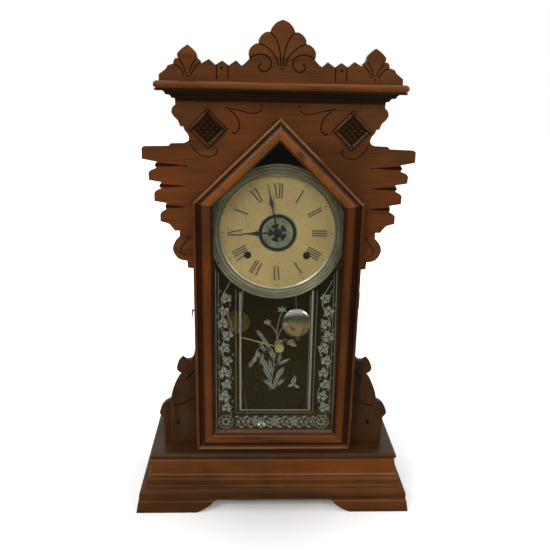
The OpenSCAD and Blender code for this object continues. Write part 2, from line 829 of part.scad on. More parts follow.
module pinion(p, n, m, ph, y0, t) {
    translate([p[0], 0, p[1] + dz])
        on_y(y0, t)
            polygon(teeth(n, m, ph));
}

module arbor(p, r, y0, y1) {
    bar_y(p[0], p[1] + dz, r, y0, y1, 24);
}

t1 = [33.7, -26.4];
t2 = [18.14, -7.14];
t3 = [0, 0];
t4 = [-7.42, 15.91];
t5 = [5.6, 23.05];
s1 = [-33.7, -26.4];
s2 = [-31, -1.8];
s3 = [-28, 15.44];
s4 = [-31, 30.44];
s5 = [-20.5, 36.99];
mw = [0, -14.4];
f1 = 0;
f2 = mesh_at(f1, 78, t1, t2, 12);
f3 = mesh_at(f2, 66, t2, t3, 12);
f4 = mesh_at(f3, 72, t3, t4, 6);
f5 = mesh_at(f4, 60, t4, t5, 6);
fm = mesh_at(f3, 12, t3, mw, 36);
fh = mesh_at(fm, 10, mw, t3, 40);
g2 = mesh_at(0, 78, s1, s2, 12);
g3 = mesh_at(g2, 60, s2, s3, 10);
g4 = mesh_at(g3, 60, s3, s4, 8);
g5 = mesh_at(g4, 48, s4, s5, 7);

module winding_arbor(p) {
    arbor(p, 2, -7, rear_y + 1);
    arbor(p, 3, 23, 27.5);
    translate([p[0] - 2.1, pan_y + 0.6, p[1] + dz - 2.1])
        cube([4.2, plate_y - 0.5 - pan_y - 0.6, 4.2]);
}

module time_great_wheel() {
    color("goldenrod")
        union() {
            wheel(t1, 78, 0.55, f1, 24, 1.6, 5);
            winding_arbor(t1);
        }
}

module strike_great_wheel() {
    color("goldenrod")
        union() {
            wheel(s1, 78, 0.55, 0, 24, 1.6, 5);
            winding_arbor(s1);
        }
}

function spiral(r0, r1, n, w) = let (q = 22 * n) concat(
    [for (i = [0:q]) let (r = r0 + (r1 - r0) * i / q) [r * cos(i * 360 / 22), r * sin(i * 360 / 22)]],
    [for (i = [q:-1:0]) let (r = r0 + (r1 - r0) * i / q + w)
        [r * cos(i * 360 / 22), r * sin(i * 360 / 22)]]);

module mainsprings() {
    color("slategray")
        for (p = [t1, s1])
            translate([p[0], 0, p[1] + dz])
                on_y(4.4, 13)
                    polygon(spiral(2.6, 14.6, 8, 0.5));
}

module time_second_wheel() {
    color("goldenrod")
        union() {
            wheel(t2, 66, 0.5, f2, 19, 1.1, 3);
            pinion(t2, 12, 0.55, f2, 22.8, 4);
            arbor(t2, 1, plate_y + 0.4, rear_y + 1);
        }
}

module centre_wheel() {
    color("goldenrod")
        union() {
            wheel(t3, 72, 0.45, f3, 14, 1.1, 4);
            pinion(t3, 12, 0.5, f3, 17.4, 4);
            pinion(t3, 12, 0.6, f3, -0.2, 1.6);
            arbor(t3, 1.5, 0, rear_y + 1);
            arbor(t3, 2, -20.6, 0);
        }
}

module third_wheel() {
    color("goldenrod")
        union() {
            wheel(t4, 60, 0.45, f4, 9, 1.1, 3);
            pinion(t4, 6, 0.45, f4, 12.8, 4);
            arbor(t4, 0.8, plate_y + 0.4, rear_y + 1);
        }
}

module escape_wheel() {
    color("goldenrod")
        union() {
            translate([t5[0], 0, t5[1] + dz]) {
                difference() {
                    on_y(3, 1)
                        polygon([for (i = [0:35]) each [[7 * cos(10 * i), 7 * sin(10 * i)],
                            [8.4 * cos(10 * i + 7), 8.4 * sin(10 * i + 7)],
                            [8.4 * cos(10 * i + 8.5), 8.4 * sin(10 * i + 8.5)]]]);
                    bar_y(0, 0, 5.8, 2, 5);
                }
                for (a = [0, 90])
                    rotate([0, a, 0])
                        translate([-6.3, 3, -0.8])
                            cube([12.6, 1, 1.6]);
                bar_y(0, 0, 2.6, 2.6, 4.4);
            }
            pinion(t5, 6, 0.45, f5, 7.8, 4);
            arbor(t5, 0.8, plate_y + 0.4, rear_y + 1);
        }
}

module verge() {
    h = pivot_z - dz - verge_p[1];
    color("silver")
        translate([verge_p[0], 0, verge_p[1] + dz]) {
            bar_y(0, 0, 0.9, plate_y - 2.2, rear_y + 1, 24);
            rotate([0, 22.4 - crutch_a, 0])
                on_y(2, 3)
                    polygon([[-10.4, -7.6], [-9.6, -8.4], [-4.4, -1.6], [4.4, -1.6], [9.6, -8.4],
                        [10.4, -7.6], [5.4, 1.6], [-5.4, 1.6]]);
            crutch(h);
        }
}

module crutch(h) {
    rod_x = pivot_x - verge_p[0] + (h + 22) * tan(swing_a);
    on_y(plate_y - 1.6, 1)
        polygon([[-2, 1], [2, 1], [rod_x + 2.8, -20.6], [rod_x + 2.8, -23.2], [rod_x - 2.8, -23.2],
            [rod_x - 2.8, -20.6]]);
    for (s = [-1, 1])
        bar_y(rod_x + s * 1.9, -22, 0.6, plate_y - 5.4, plate_y - 1, 20);
}

module pendulum_rod() {
    l = norm([bob_x - pivot_x, pivot_z - bob_z]);
    color("gray")
        translate([pivot_x, 0, pivot_z])
            rotate([0, -swing_a, 0]) {
                difference() {
                    bar_y(0, 0, 2.6, -9.5, -8);
                    bar_y(0, 0, 1.4 + run, -12, 0);
                }
                translate([-0.15, -9.3, -14])
                    cube([0.3, 1.1, 11.8]);
                translate([0, -8.75, -l - bob_r - 3.6])
                    cylinder(h = l + bob_r - 9.4, r = 0.8);
                translate([0, -8.75, -l - bob_r - 2.42])
                    cylinder(h = 2.4, r = 2.4);
            }
}

module pendulum_bob() {
    l = norm([bob_x - pivot_x, pivot_z - bob_z]);
    color("gainsboro")
        translate([pivot_x, 0, pivot_z])
            rotate([0, -swing_a, 0])
                difference() {
                    turned_y(0, -l, -7)
                        polygon(concat([[0, 0], [bob_r, 0], [bob_r, 0.8]],
                            [for (a = [10:10:90]) [bob_r * cos(a), 0.8 + 4.6 * sin(a)]]));
                    translate([0, -8.75, -l - 30])
                        cylinder(h = 60, r = 0.8);
                }
}

module hour_wheel() {
    color("goldenrod")
        union() {
            difference() {
                pinion(t3, 40, 0.576, fh, -2.6, 1.1);
                arbor(t3, 4, -5, 2);
            }
            turned_y(0, dz, -1.2)
                polygon([[2 + run, 0], [5, 0], [5, 1.7], [3.3, 1.7], [3.3, 13.6], [3, 13.6], [3, 15.2],
                    [2 + run, 15.2]]);
        }
}

module minute_wheel() {
    color("goldenrod")
        difference() {
            union() {
                wheel(mw, 36, 0.6, fm, 0, 1.1, 4);
                pinion(mw, 10, 0.576, fm, -2.8, 2.9);
            }
            arbor(mw, 1 + run, -6, 4);
        }
}

module strike_second_wheel() {
    color("goldenrod")
        union() {
            wheel(s2, 60, 0.5, g2, 19, 1.1, 3);
            pinion(s2, 12, 0.55, g2, 22.8, 3.6);
            arbor(s2, 1, plate_y + 0.4, rear_y + 1);
        }
}

module strike_pin_wheel() {
    color("goldenrod")
        union() {
            wheel(s3, 60, 0.45, g3, 14, 1.1, 3);
            pinion(s3, 10, 0.5, g3, 17.8, 3.6);
            arbor(s3, 0.8, plate_y + 0.4, rear_y + 1);
            for (k = [0:7])
                arbor(s3 + 11.6 * [cos(45 * k), sin(45 * k)], 0.5, 12, 14.6);
        }
}

module strike_warning_wheel() {
    color("goldenrod")
        union() {
            wheel(s4, 48, 0.45, g4, 9, 1.1, 3);
            pinion(s4, 8, 0.45, g4, 12.8, 3.6);
            arbor(s4, 0.8, plate_y + 0.4, rear_y + 1);
        }
}

module strike_fly() {
    color("goldenrod")
        union() {
            pinion(s5, 7, 0.45, g5, 7.8, 3.6);
            arbor(s5, 0.7, plate_y + 0.4, rear_y + 1);
            translate([s5[0] - 7.5, 17, s5[1] + dz - 0.3])
                cube([15, 11, 0.6]);
            arbor(s5, 1.4, 16.4, 28.6);
        }
}

module plate(y0) {
    difference() {
        union() {
            translate([-40, y0, dz - 47])
                cube([80, 1.4, 108]);
            for (s = [-1, 1])
                bar_y(s * 33.7, dz - 26.4, 9, y0, y0 + 1.4);
        }
        for (s = [-1, 1])
            arbor([s * 33.7, -26.4], 2 + run, y0 - 1, y0 + 3);
        for (p = [t2, s2])
            arbor(p, 1 + run, y0 - 1, y0 + 3);
        for (p = [t4, t5, s3, s4])
            arbor(p, 0.8 + run, y0 - 1, y0 + 3);
        arbor(s5, 0.7 + run, y0 - 1, y0 + 3);
        arbor(verge_p, 0.9 + run, y0 - 1, y0 + 3);
        children();
    }
}

module front_plate() {
    color("darkgoldenrod")
        union() {
            plate(plate_y) {
                arbor(t3, 3.3 + run, -8, 0);
                for (p = post_places)
                    arbor(p, 1.4, -8, 0);
            }
            bar_y(pivot_x, pivot_z, 1.4, -10.6, plate_y + 0.4);
            bar_y(pivot_x, pivot_z, 2.2, -11.4, -10.6);
            arbor(mw, 1, plate_y + 1, 2.2);
            arbor(mw, 1.8, 1.7, 2.3);
        }
}

post_places = [[-35, 56], [35, 56], [-9, -43], [9, -43]];

module back_plate() {
    color("darkgoldenrod")
        union() {
            plate(rear_y) {
                arbor(t3, 1.5 + run, rear_y - 1, rear_y + 3);
                arbor(hammer_p - [0, dz], 1.5 + run, rear_y - 1, rear_y + 3);
                for (p = rail_places)
                    for (s = [-1, 1])
                        arbor([s * p[2], p[1]], 1.2, rear_y - 1, rear_y + 3);
            }
            for (p = post_places) {
                arbor(p, 2.2, plate_y + 1.4, rear_y + 0.4);
                arbor(p, 1.4, plate_y - 0.6, 0);
            }
        }
}

module strike_hammer() {
    y = 36;
    k = [-42, 189.5 + low];
    color("darkgoldenrod") {
        bar_y(hammer_p[0], hammer_p[1], 1.5, 27, y + 1.2);
        bar_y(hammer_p[0], hammer_p[1], 2.6, rear_y + 1.8, y + 1.6);
        tie([hammer_p[0], y, hammer_p[1]], [k[0], y, k[1]], 0.8);
        translate([k[0], y, k[1]])
            sphere(r = 0.95, $fn = 20);
        tie([k[0], y, k[1]], [head_c[0] - 4, y, head_c[1] + 1.2], 0.8);
        turned_y(head_c[0], head_c[1], 48 + bk)
            polygon([[0, 0], [5.4, 0], [5.9, 0.5], [5.9, 15.2 + bk], [5.3, 15.9 + bk], [0, 15.9 + bk]]);
    }
}

function coil_at(i, n, r0, r1) = let (a = 30 + 360 * i / 24, r = r0 + (r1 - r0) * i / n)
    [r * cos(a), 0, r * sin(a)];
function coil_rings(n, r0, r1, w) = [for (i = [0:n]) let (a = 30 + 360 * i / 24) for (k = [0:5])
    coil_at(i, n, r0, r1) + w * [cos(60 * k) * cos(a), sin(60 * k), cos(60 * k) * sin(a)]];
function coil_faces(n) = concat([[for (k = [0:5]) k]],
    [for (i = [0:n - 1]) for (k = [0:5])
        [6 * i + k, 6 * i + 6 + k, 6 * i + 6 + (k + 1) % 6, 6 * i + (k + 1) % 6]],
    [[for (k = [5:-1:0]) 6 * n + k]]);

module gong_coil() {
    n = 24 * gong_turns;
    color("midnightblue")
        translate([gong_c[0], gong_y, gong_c[1]])
            polyhedron(points = coil_rings(n, 8, gong_r, gong_wire), faces = coil_faces(n), convexity = 12);
}

echo(coil_gap = (gong_r - 8) / gong_turns - 2 * gong_wire);

module gong_base() {
    h = board_y - gong_y;
    color("dimgray")
        translate([gong_c[0], 0, gong_c[1]])
            union() {
                turned_y(0, 0, board_y)
                    polygon([[0, 0], [9, 0], [9, 2], [6.5, 3.4], [5.6, h - 2], [5.6, h + 2.4],
                        [4.4, h + 3.2], [0, h + 3.2]]);
                rotate([0, -30, 0])
                    translate([3.6, gong_y - 1.7, -4])
                        cube([6, 3.4, 4]);
            }
}

module alarm_unit() {
    color("darkgoldenrod")
        translate([alarm_c[0], 0, alarm_c[1]]) {
            difference() {
                union() {
                    bar_y(0, 0, 15.3, 26, 27.2, 72);
                    for (a = [120, 180, 240])
                        bar_y(12.4 * cos(a), 12.4 * sin(a), 1.2, 26.5, 34);
                    bar_y(-13.4, 0, 1.6, 26.5, board_y, 24);
                }
                bar_y(-4, -14, 0.9 + run, 20, 40);
            }
            bar_y(0, 0, 4.4, 24, 26);
            on_y(27.6, 5)
                polygon(spiral(2.2, 9.6, 6, 0.5));
            bar_y(0, 0, 2.4, 27.2, 33);
        }
}

module alarm_hammer() {
    p = [alarm_c[0] - 4, alarm_c[1] - 14];
    y = 23.4;
    k = [-38, 23.4, 120 + low];
    h = [bell_c[0] - bell_r - 3.7, bell_c[1], 88 + low];
    color("dimgray") {
        bar_y(p[0], p[1], 0.9, y - 0.8, 30);
        bar_y(p[0], p[1], 1.8, y - 0.9, 25.6);
        tie([p[0], y, p[1]], k, 0.7);
        tie(k, h, 0.7);
        translate(k)
            sphere(r = 0.85, $fn = 20);
        translate(h)
            sphere(r = 2.9, $fn = 32);
    }
}

module alarm_bell() {
    r = bell_r;
    color("gainsboro")
        translate([bell_c[0], bell_c[1], base_h])
            union() {
                rotate_extrude($fn = 96)
                    polygon(concat([[r - 0.9, 8], [r, 8]],
                        [for (a = [10:10:80]) [r * cos(a), 9 + (r + 1) * sin(a)]],
                        [[0, 10 + r], [0, 8.8 + r]],
                        [for (a = [80:-10:10]) [(r - 0.9) * cos(a), 9 + r * sin(a)]]));
                cylinder(h = 10 + r, r = 1.5);
                cylinder(h = 2, r = 5);
                translate([0, 0, 9 + r])
                    cylinder(h = 2.4, r = 2.2, $fn = 6);
            }
}

base_front_skirt();
base_side_skirts();
base_front_board();
base_side_boards();
base_top_board();
glue_blocks();
case_left_side();
case_right_side();
case_back_board();
front_panel();
face_strips();
lower_lobes();
left_bracket();
right_bracket();
diamond_blocks();
cornice_board();
bed_front();
bed_sides();
crest_board();
door_left_stile();
door_right_stile();
door_bottom_rail();
door_left_slope();
door_right_slope();
door_glass();
glass_beads();
door_hinge_leaves();
case_hinge_leaves();
latch_hook();
dial_pan();
dial_bezel();
dial_blocks();
fasteners();
alarm_disc();
hour_hand();
minute_hand();
time_great_wheel();
strike_great_wheel();
mainsprings();
time_second_wheel();
centre_wheel();
third_wheel();
escape_wheel();
verge();
pendulum_rod();
pendulum_bob();
hour_wheel();
minute_wheel();
strike_second_wheel();
strike_pin_wheel();
strike_warning_wheel();
strike_fly();
front_plate();
back_plate();
strike_hammer();
gong_coil();
gong_base();
alarm_unit();
alarm_hammer();
alarm_bell();
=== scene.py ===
import json
import math
import random
import bmesh
import bpy
from mathutils import Matrix, Vector

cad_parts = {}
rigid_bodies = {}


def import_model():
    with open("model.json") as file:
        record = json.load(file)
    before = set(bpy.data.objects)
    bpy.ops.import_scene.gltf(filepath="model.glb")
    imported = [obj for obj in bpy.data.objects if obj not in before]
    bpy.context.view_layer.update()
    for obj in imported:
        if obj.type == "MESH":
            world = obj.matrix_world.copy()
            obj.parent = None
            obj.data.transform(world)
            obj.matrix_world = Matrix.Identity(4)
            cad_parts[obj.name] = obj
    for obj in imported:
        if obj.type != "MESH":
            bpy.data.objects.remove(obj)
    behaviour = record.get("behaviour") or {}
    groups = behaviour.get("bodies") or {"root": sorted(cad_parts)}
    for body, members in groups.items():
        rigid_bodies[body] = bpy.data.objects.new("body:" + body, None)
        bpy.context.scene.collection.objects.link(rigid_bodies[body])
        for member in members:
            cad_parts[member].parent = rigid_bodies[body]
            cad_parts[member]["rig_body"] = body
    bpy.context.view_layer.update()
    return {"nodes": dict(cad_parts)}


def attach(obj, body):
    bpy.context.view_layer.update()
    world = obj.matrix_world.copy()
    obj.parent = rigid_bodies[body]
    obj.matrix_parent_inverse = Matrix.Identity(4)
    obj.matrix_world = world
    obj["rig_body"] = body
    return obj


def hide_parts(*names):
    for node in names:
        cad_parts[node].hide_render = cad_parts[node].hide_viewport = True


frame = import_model()
nodes = frame["nodes"]
print("frame loaded")

# Materials: every wood, metal and paint is procedural and reads the object's own coordinates


def newMaterial(name):
    material = bpy.data.materials.new(name)
    material.use_nodes = True
    tree = material.node_tree
    return material, tree, tree.nodes["Principled BSDF"]


def addNode(tree, kind, **values):
    node = tree.nodes.new(kind)
    for key, value in values.items():
        setattr(node, key, value)
    return node


def setInputs(node, **values):
    for key, value in values.items():
        node.inputs[key.replace("_", " ")].default_value = value


def ownPlace(tree):
    return addNode(tree, "ShaderNodeTexCoord").outputs["Object"]


def mapped(tree, vector, **values):
    node = addNode(tree, "ShaderNodeMapping")
    setInputs(node, **values)
    tree.links.new(vector, node.inputs["Vector"])
    return node.outputs["Vector"]


def noise(tree, vector, scale, detail, rough, warp=0.0):
    node = addNode(tree, "ShaderNodeTexNoise")
    setInputs(node, Scale=scale, Detail=detail, Roughness=rough, Distortion=warp)
    tree.links.new(vector, node.inputs["Vector"])
    return node.outputs["Fac"]


def ramp(tree, value, stops):
    node = addNode(tree, "ShaderNodeValToRGB")
    while len(node.color_ramp.elements) < len(stops):
        node.color_ramp.elements.new(0.5)
    for element, (place, colour) in zip(node.color_ramp.elements, stops):
        element.position = place
        element.color = (*colour, 1)
    tree.links.new(value, node.inputs["Fac"])
    return node.outputs["Color"]


def blended(tree, kind, fac, a, b):
    node = addNode(tree, "ShaderNodeMix", data_type="RGBA", blend_type=kind)
    for socket, value in zip((node.inputs["Factor"], node.inputs[6], node.inputs[7]), (fac, a, b)):
        if isinstance(value, (int, float)):
            socket.default_value = value
        elif isinstance(value, tuple):
            socket.default_value = (*value, 1)
        else:
            tree.links.new(value, socket)
    return node.outputs[2]


def spread(tree, value, low, high):
    node = addNode(tree, "ShaderNodeMapRange")
    setInputs(node, To_Min=low, To_Max=high)
    tree.links.new(value, node.inputs["Value"])
    return node.outputs["Result"]


def bump(tree, shader, height, strength, distance):
    node = addNode(tree, "ShaderNodeBump")
    setInputs(node, Strength=strength, Distance=distance)
    tree.links.new(height, node.inputs["Height"])
    tree.links.new(node.outputs["Normal"], shader.inputs["Normal"])


# Painted shade in the recesses behind the board's face: 0 at the board's face, 1 at the carving's full depth

carvingDepth = 0.004
carvedShadeStops = [(0.06, (1, 1, 1)), (0.16, (0.5, 0.45, 0.42)), (0.28, (0.26, 0.22, 0.19)), (0.6, (0.34, 0.3, 0.27)),
               (0.85, (0.8, 0.78, 0.76))]
mouldedShadeStops = [(0.02, (0.95, 0.92, 0.88)), (0.12, (0.85, 0.82, 0.8)), (0.28, (0.45, 0.42, 0.4)),
                (0.55, (0.25, 0.22, 0.2)), (0.8, (0.2, 0.18, 0.16)), (1.0, (0.4, 0.37, 0.35))]
# The diamonds' tone: a grey cast at the pyramids' faces for painted highlights, darker deeper down for painted shade
diamondShadeStops = [(0.0, (0.8, 0.9, 1.0)), (0.2, (0.52, 0.58, 0.64)), (0.38, (0.3, 0.35, 0.4)),
                (0.6, (0.16, 0.19, 0.22))]


def depth(tree, front):
    split = addNode(tree, "ShaderNodeSeparateXYZ")
    node = addNode(tree, "ShaderNodeMapRange")
    setInputs(node, From_Min=front, From_Max=front + carvingDepth)
    tree.links.new(ownPlace(tree), split.inputs["Vector"])
    tree.links.new(split.outputs["Y"], node.inputs["Value"])
    return node.outputs["Result"]


# Which way the grain runs; up and down follow the door's sloped rails
grainTurn = {"x": (0, 0, 0), "y": (0, 0, math.radians(90)), "z": (0, math.radians(90), 0),
             "up": (0, math.radians(44), 0), "down": (0, math.radians(-44), 0)}


def woodMaterial(name, way, dark, light, rough, coat, shift, carvedFrom=None, stops=None):
    material, tree, shader = newMaterial(name)
    base = mapped(tree, ownPlace(tree), Rotation=grainTurn[way])
    long = mapped(tree, base, Scale=(5, 62, 62), Location=(shift, shift * 3, shift * 7))
    figure = noise(tree, long, 1.0, 4, 0.45, 0.5)
    pores = noise(tree, mapped(tree, base, Scale=(28, 900, 900)), 1.0, 3, 0.6)
    cloud = noise(tree, base, 11, 3, 0.5, 0.3)
    flush = noise(tree, base, 17, 2, 0.5, 0.6)
    colour = ramp(tree, figure, [(0.28, dark), (0.5, light), (0.76, tuple(c * 0.86 for c in light))])
    layers = ((0.5, pores, [(0.34, (0.5, 0.4, 0.32)), (0.5, (1, 1, 1))]),
              (0.85, cloud, [(0.3, (0.6, 0.52, 0.46)), (0.7, (1.22, 1.1, 0.95))]),
              (0.8, flush, [(0.35, (0.82, 0.92, 1.0)), (0.65, (1.2, 1.0, 0.85))]))
    for amount, pattern, tones in layers:
        colour = blended(tree, "MULTIPLY", amount, colour, ramp(tree, pattern, tones))
    # Painted shade: the colour darkens behind the face, in the carving and in the mouldings' grooves
    if carvedFrom is not None:
        colour = blended(tree, "MULTIPLY", 1.0, colour, ramp(tree, depth(tree, carvedFrom), stops))
    tree.links.new(colour, shader.inputs["Base Color"])
    tree.links.new(spread(tree, cloud, rough + 0.1, rough - 0.08), shader.inputs["Roughness"])
    setInputs(shader, Coat_Weight=coat, Coat_Roughness=0.2, Specular_IOR_Level=0.12)
    bump(tree, shader, pores, 0.22, 0.0002)
    return material


def metalMaterial(name, colour, stain, rough, metallic, size, grain):
    material, tree, shader = newMaterial(name)
    base = ownPlace(tree)
    blot = noise(tree, base, size, 5, 0.62, 0.4)
    speck = noise(tree, base, size * 9, 3, 0.6)
    tone = ramp(tree, blot, [(0.36, stain), (0.62, colour)])
    tone = blended(tree, "MULTIPLY", 0.5 * grain, tone,
                   ramp(tree, speck, [(0.32, (0.55, 0.55, 0.55)), (0.55, (1, 1, 1))]))
    tree.links.new(tone, shader.inputs["Base Color"])
    tree.links.new(spread(tree, blot, rough + 0.16 * grain, rough - 0.06 * grain), shader.inputs["Roughness"])
    setInputs(shader, Metallic=metallic)
    bump(tree, shader, speck, 0.12 * grain, 0.00015)
    return material


def paperMaterial(name, light, dark):
    material, tree, shader = newMaterial(name)
    base = ownPlace(tree)
    blot = noise(tree, base, 26, 6, 0.65, 0.5)
    foxing = noise(tree, base, 320, 4, 0.6)
    tone = ramp(tree, blot, [(0.3, dark), (0.65, light)])
    tone = blended(tree, "MULTIPLY", 0.35, tone, ramp(tree, foxing, [(0.3, (0.5, 0.42, 0.3)), (0.46, (1, 1, 1))]))
    tree.links.new(tone, shader.inputs["Base Color"])
    setInputs(shader, Roughness=0.75)
    bump(tree, shader, foxing, 0.08, 0.0001)
    return material


def glassMaterial(name):
    material, tree, shader = newMaterial(name)
    base = ownPlace(tree)
    ripple = noise(tree, base, 7, 2, 0.5)
    smear = noise(tree, base, 40, 5, 0.6, 0.8)
    setInputs(shader, Base_Color=(0.93, 0.96, 0.94, 1), Transmission_Weight=1.0, IOR=1.46, Specular_IOR_Level=0.06)
    tree.links.new(spread(tree, smear, 0.0, 0.012), shader.inputs["Roughness"])
    bump(tree, shader, ripple, 0.03, 0.0004)
    return material


def inkMaterial(name, colour, rough, thin=0.0):
    material, tree, shader = newMaterial(name)
    wear = noise(tree, ownPlace(tree), 420, 4, 0.65, 0.3)
    tone = ramp(tree, wear, [(0.3, tuple(min(1, c * 0.7 + 0.02) for c in colour)), (0.6, colour)])
    tree.links.new(tone, shader.inputs["Base Color"])
    setInputs(shader, Roughness=rough)
    if thin:
        tree.links.new(spread(tree, wear, 1 - thin * 1.4, 1.0), shader.inputs["Alpha"])
    return material


# Tones that the woods below are made from
woods = {"darkest": (0.004, 0.004, 0.003), "sawn": (0.009, 0.009, 0.006), "carved": (0.064, 0.028, 0.009),
         "worn": (0.24, 0.12, 0.045), "oldPine": (0.020, 0.012, 0.006), "pine": (0.060, 0.036, 0.018),
         "top": (0.052, 0.026, 0.009), "dark": (0.072, 0.024, 0.005), "mid": (0.120, 0.040, 0.007),
         "deep": (0.070, 0.020, 0.004), "red": (0.140, 0.043, 0.007), "shade": (0.005, 0.0035, 0.002),
         "black": (0.028, 0.012, 0.004), "brown": (0.082, 0.031, 0.005), "slope": (0.20, 0.072, 0.012)}
# Each wood: name, dark and light tone, roughness, varnish, shift of the figure, then for carving the face it starts
# from and its painted shade in the recesses
doorFace = -0.0384
recipes = {"dark": ("walnutDark", "dark", "mid", 0.5, 0.12, 0.0),
           "red": ("walnutRed", "deep", "red", 0.42, 0.2, 0.4),
           "base": ("walnutBase", "black", "brown", 0.5, 0.08, 0.5),
           # The door's walnut comes in three copies: the left stile's, a darker one for the right stile (painted
           # shade) and a lighter one for the slopes and bottom rail (painted light)
           "door": ("walnutDoor", "deep", "red", 0.4, 0.12, 0.4, doorFace, mouldedShadeStops),
           "stile": ("walnutStile", "deep", "mid", 0.4, 0.12, 0.6, doorFace, mouldedShadeStops),
           "slope": ("walnutSlope", "deep", "slope", 0.4, 0.12, 0.6, doorFace, mouldedShadeStops),
           "panel": ("walnutPanel", "dark", "mid", 0.5, 0.12, 0.7, -0.028, carvedShadeStops),
           "crest": ("walnutCrest", "dark", "mid", 0.5, 0.12, 0.7, -0.036, carvedShadeStops),
           "bracket": ("walnutBracket", "black", "carved", 0.5, 0.12, 0.7, -0.020, carvedShadeStops),
           "diamond": ("walnutDiamond", "dark", "mid", 0.42, 0.2, 0.2, -0.0319, diamondShadeStops),
           # Lighter roundings for the edges of the door, base and cornice boards: wear and painted highlight
           "worn": ("walnutWorn", "red", "worn", 0.4, 0.2, 0.1),
           # Near-black roundings for the edges of the carvings and the dark boards: painted shade
           "shadedEdge": ("walnutBlackened", "shade", "black", 0.5, 0.1, 0.1),
           # The base's top board is darker than the other base boards: painted shade, also where it is seen through
           # the glass
           "top": ("walnutTop", "black", "top", 0.42, 0.15, 0.2),
           "shade": ("walnutShade", "shade", "black", 0.5, 0.1, 0.3),
           "sawn": ("pineStained", "oldPine", "pine", 0.7, 0.0, 0.9),
           "block": ("pineBlock", "oldPine", "pine", 0.7, 0.0, 1.3),
           # The back board's inside face: nearly black, painted shade
           "inner": ("pineDarkened", "darkest", "sawn", 0.7, 0.0, 0.9)}
wood = {}


def woodOf(kind, way):
    if (kind, way) not in wood:
        name, dark, light, *rest = recipes[kind]
        wood[kind, way] = woodMaterial(name + "_" + way, way, woods[dark], woods[light], *rest)
    return wood[kind, way]


# Each metal: colour, stain, roughness, how metallic it is, how many stains to the metre and how strong they are
metals = {"agedBrass": ((0.30, 0.24, 0.06), (0.13, 0.11, 0.03), 0.36, 1.0, 55, 1.0),
          "brightBrass": ((0.72, 0.70, 0.26), (0.50, 0.47, 0.17), 0.3, 0.55, 55, 0.4),
          "bezelBrass": ((0.28, 0.26, 0.175), (0.19, 0.18, 0.12), 0.34, 0.8, 38, 0.4),
          # Pale metal for the thin raised edges of the bezel and dial pan: painted highlight
          "highlightBrass": ((0.80, 0.80, 0.68), (0.60, 0.60, 0.48), 0.28, 1.0, 60, 0.2),
          "nickel": ((0.50, 0.49, 0.47), (0.44, 0.43, 0.40), 0.15, 1.0, 60, 1.0),
          "polishedNickel": ((0.74, 0.73, 0.70), (0.62, 0.60, 0.54), 0.1, 1.0, 55, 0.15),
          "discNickel": ((0.28, 0.30, 0.19), (0.17, 0.18, 0.11), 0.45, 0.6, 120, 1.0),
          "steel": ((0.33, 0.33, 0.34), (0.18, 0.17, 0.16), 0.3, 1.0, 55, 1.0),
          "darkSteel": ((0.06, 0.06, 0.062), (0.03, 0.028, 0.026), 0.35, 1.0, 55, 1.0),
          "bluedSteel": ((0.035, 0.04, 0.06), (0.03, 0.025, 0.022), 0.38, 1.0, 55, 1.0),
          "japannedIron": ((0.02, 0.02, 0.021), (0.035, 0.028, 0.022), 0.5, 0.2, 55, 1.0)}
metal = {name: metalMaterial(name, *look) for name, look in metals.items()}
black = inkMaterial("blackEnamel", (0.010, 0.010, 0.011), 0.42)
paper = paperMaterial("dialPaper", (0.37, 0.262, 0.10), (0.29, 0.20, 0.075))
clear = glassMaterial("doorGlass")
ink = inkMaterial("dialInk", (0.014, 0.012, 0.010), 0.7)
silverInk = inkMaterial("glassPrint", (0.21, 0.21, 0.18), 0.6, 0.25)
print("materials made")

# Shared helpers for meshes


def meshObject(name, bm, material, body, angle=32):
    bmesh.ops.recalc_face_normals(bm, faces=bm.faces)
    mesh = bpy.data.meshes.new(name)
    bm.to_mesh(mesh)
    bm.free()
    obj = bpy.data.objects.new(name, mesh)
    bpy.context.scene.collection.objects.link(obj)
    for item in material if isinstance(material, (list, tuple)) else [material]:
        mesh.materials.append(item)
    mesh.shade_smooth()
    mesh.set_sharp_from_angle(angle=math.radians(angle))
    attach(obj, body)
    return obj


def plain(name, material, angle=30):
    mesh = nodes[name].data
    mesh.materials.clear()
    for item in material if isinstance(material, (list, tuple)) else [material]:
        mesh.materials.append(item)
    mesh.shade_smooth()
    mesh.set_sharp_from_angle(angle=math.radians(angle))


# Second material for the faces that lie wholly within a radius, in millimetres, of an axis along y
def core(name, materials, centre, radius):
    plain(name, materials)
    mesh = nodes[name].data
    for face in mesh.polygons:
        points = [mesh.vertices[v].co for v in face.vertices]
        reach = max(math.hypot(p.x * 1000 - centre[0], p.z * 1000 - centre[1]) for p in points)
        face.material_index = 1 if reach < radius else 0


# Printed shapes are drawn flat, with x and z in millimetres at y in metres
inkThickness = 0.00006


def flatShape(bm, points, y):
    bm.faces.new([bm.verts.new((x / 1000, y, z / 1000)) for x, z in points])


# Strip of an even width along a path, bent from a grid
def ribbon(bm, points, width, y):
    sides = [[], []]
    last = len(points) - 1
    for i, (x, z) in enumerate(points):
        ax, az = points[max(i - 1, 0)]
        bx, bz = points[min(i + 1, last)]
        long = math.hypot(bx - ax, bz - az) or 1
        nx, nz = -(bz - az) / long * width / 2, (bx - ax) / long * width / 2
        sides[0].append((x + nx, z + nz))
        sides[1].append((x - nx, z - nz))
    strip = bmesh.ops.create_grid(bm, x_segments=last, y_segments=1, size=1)["verts"]
    for vert, (x, z) in zip(strip, sides[0] + sides[1]):
        vert.co = (x / 1000, y, z / 1000)


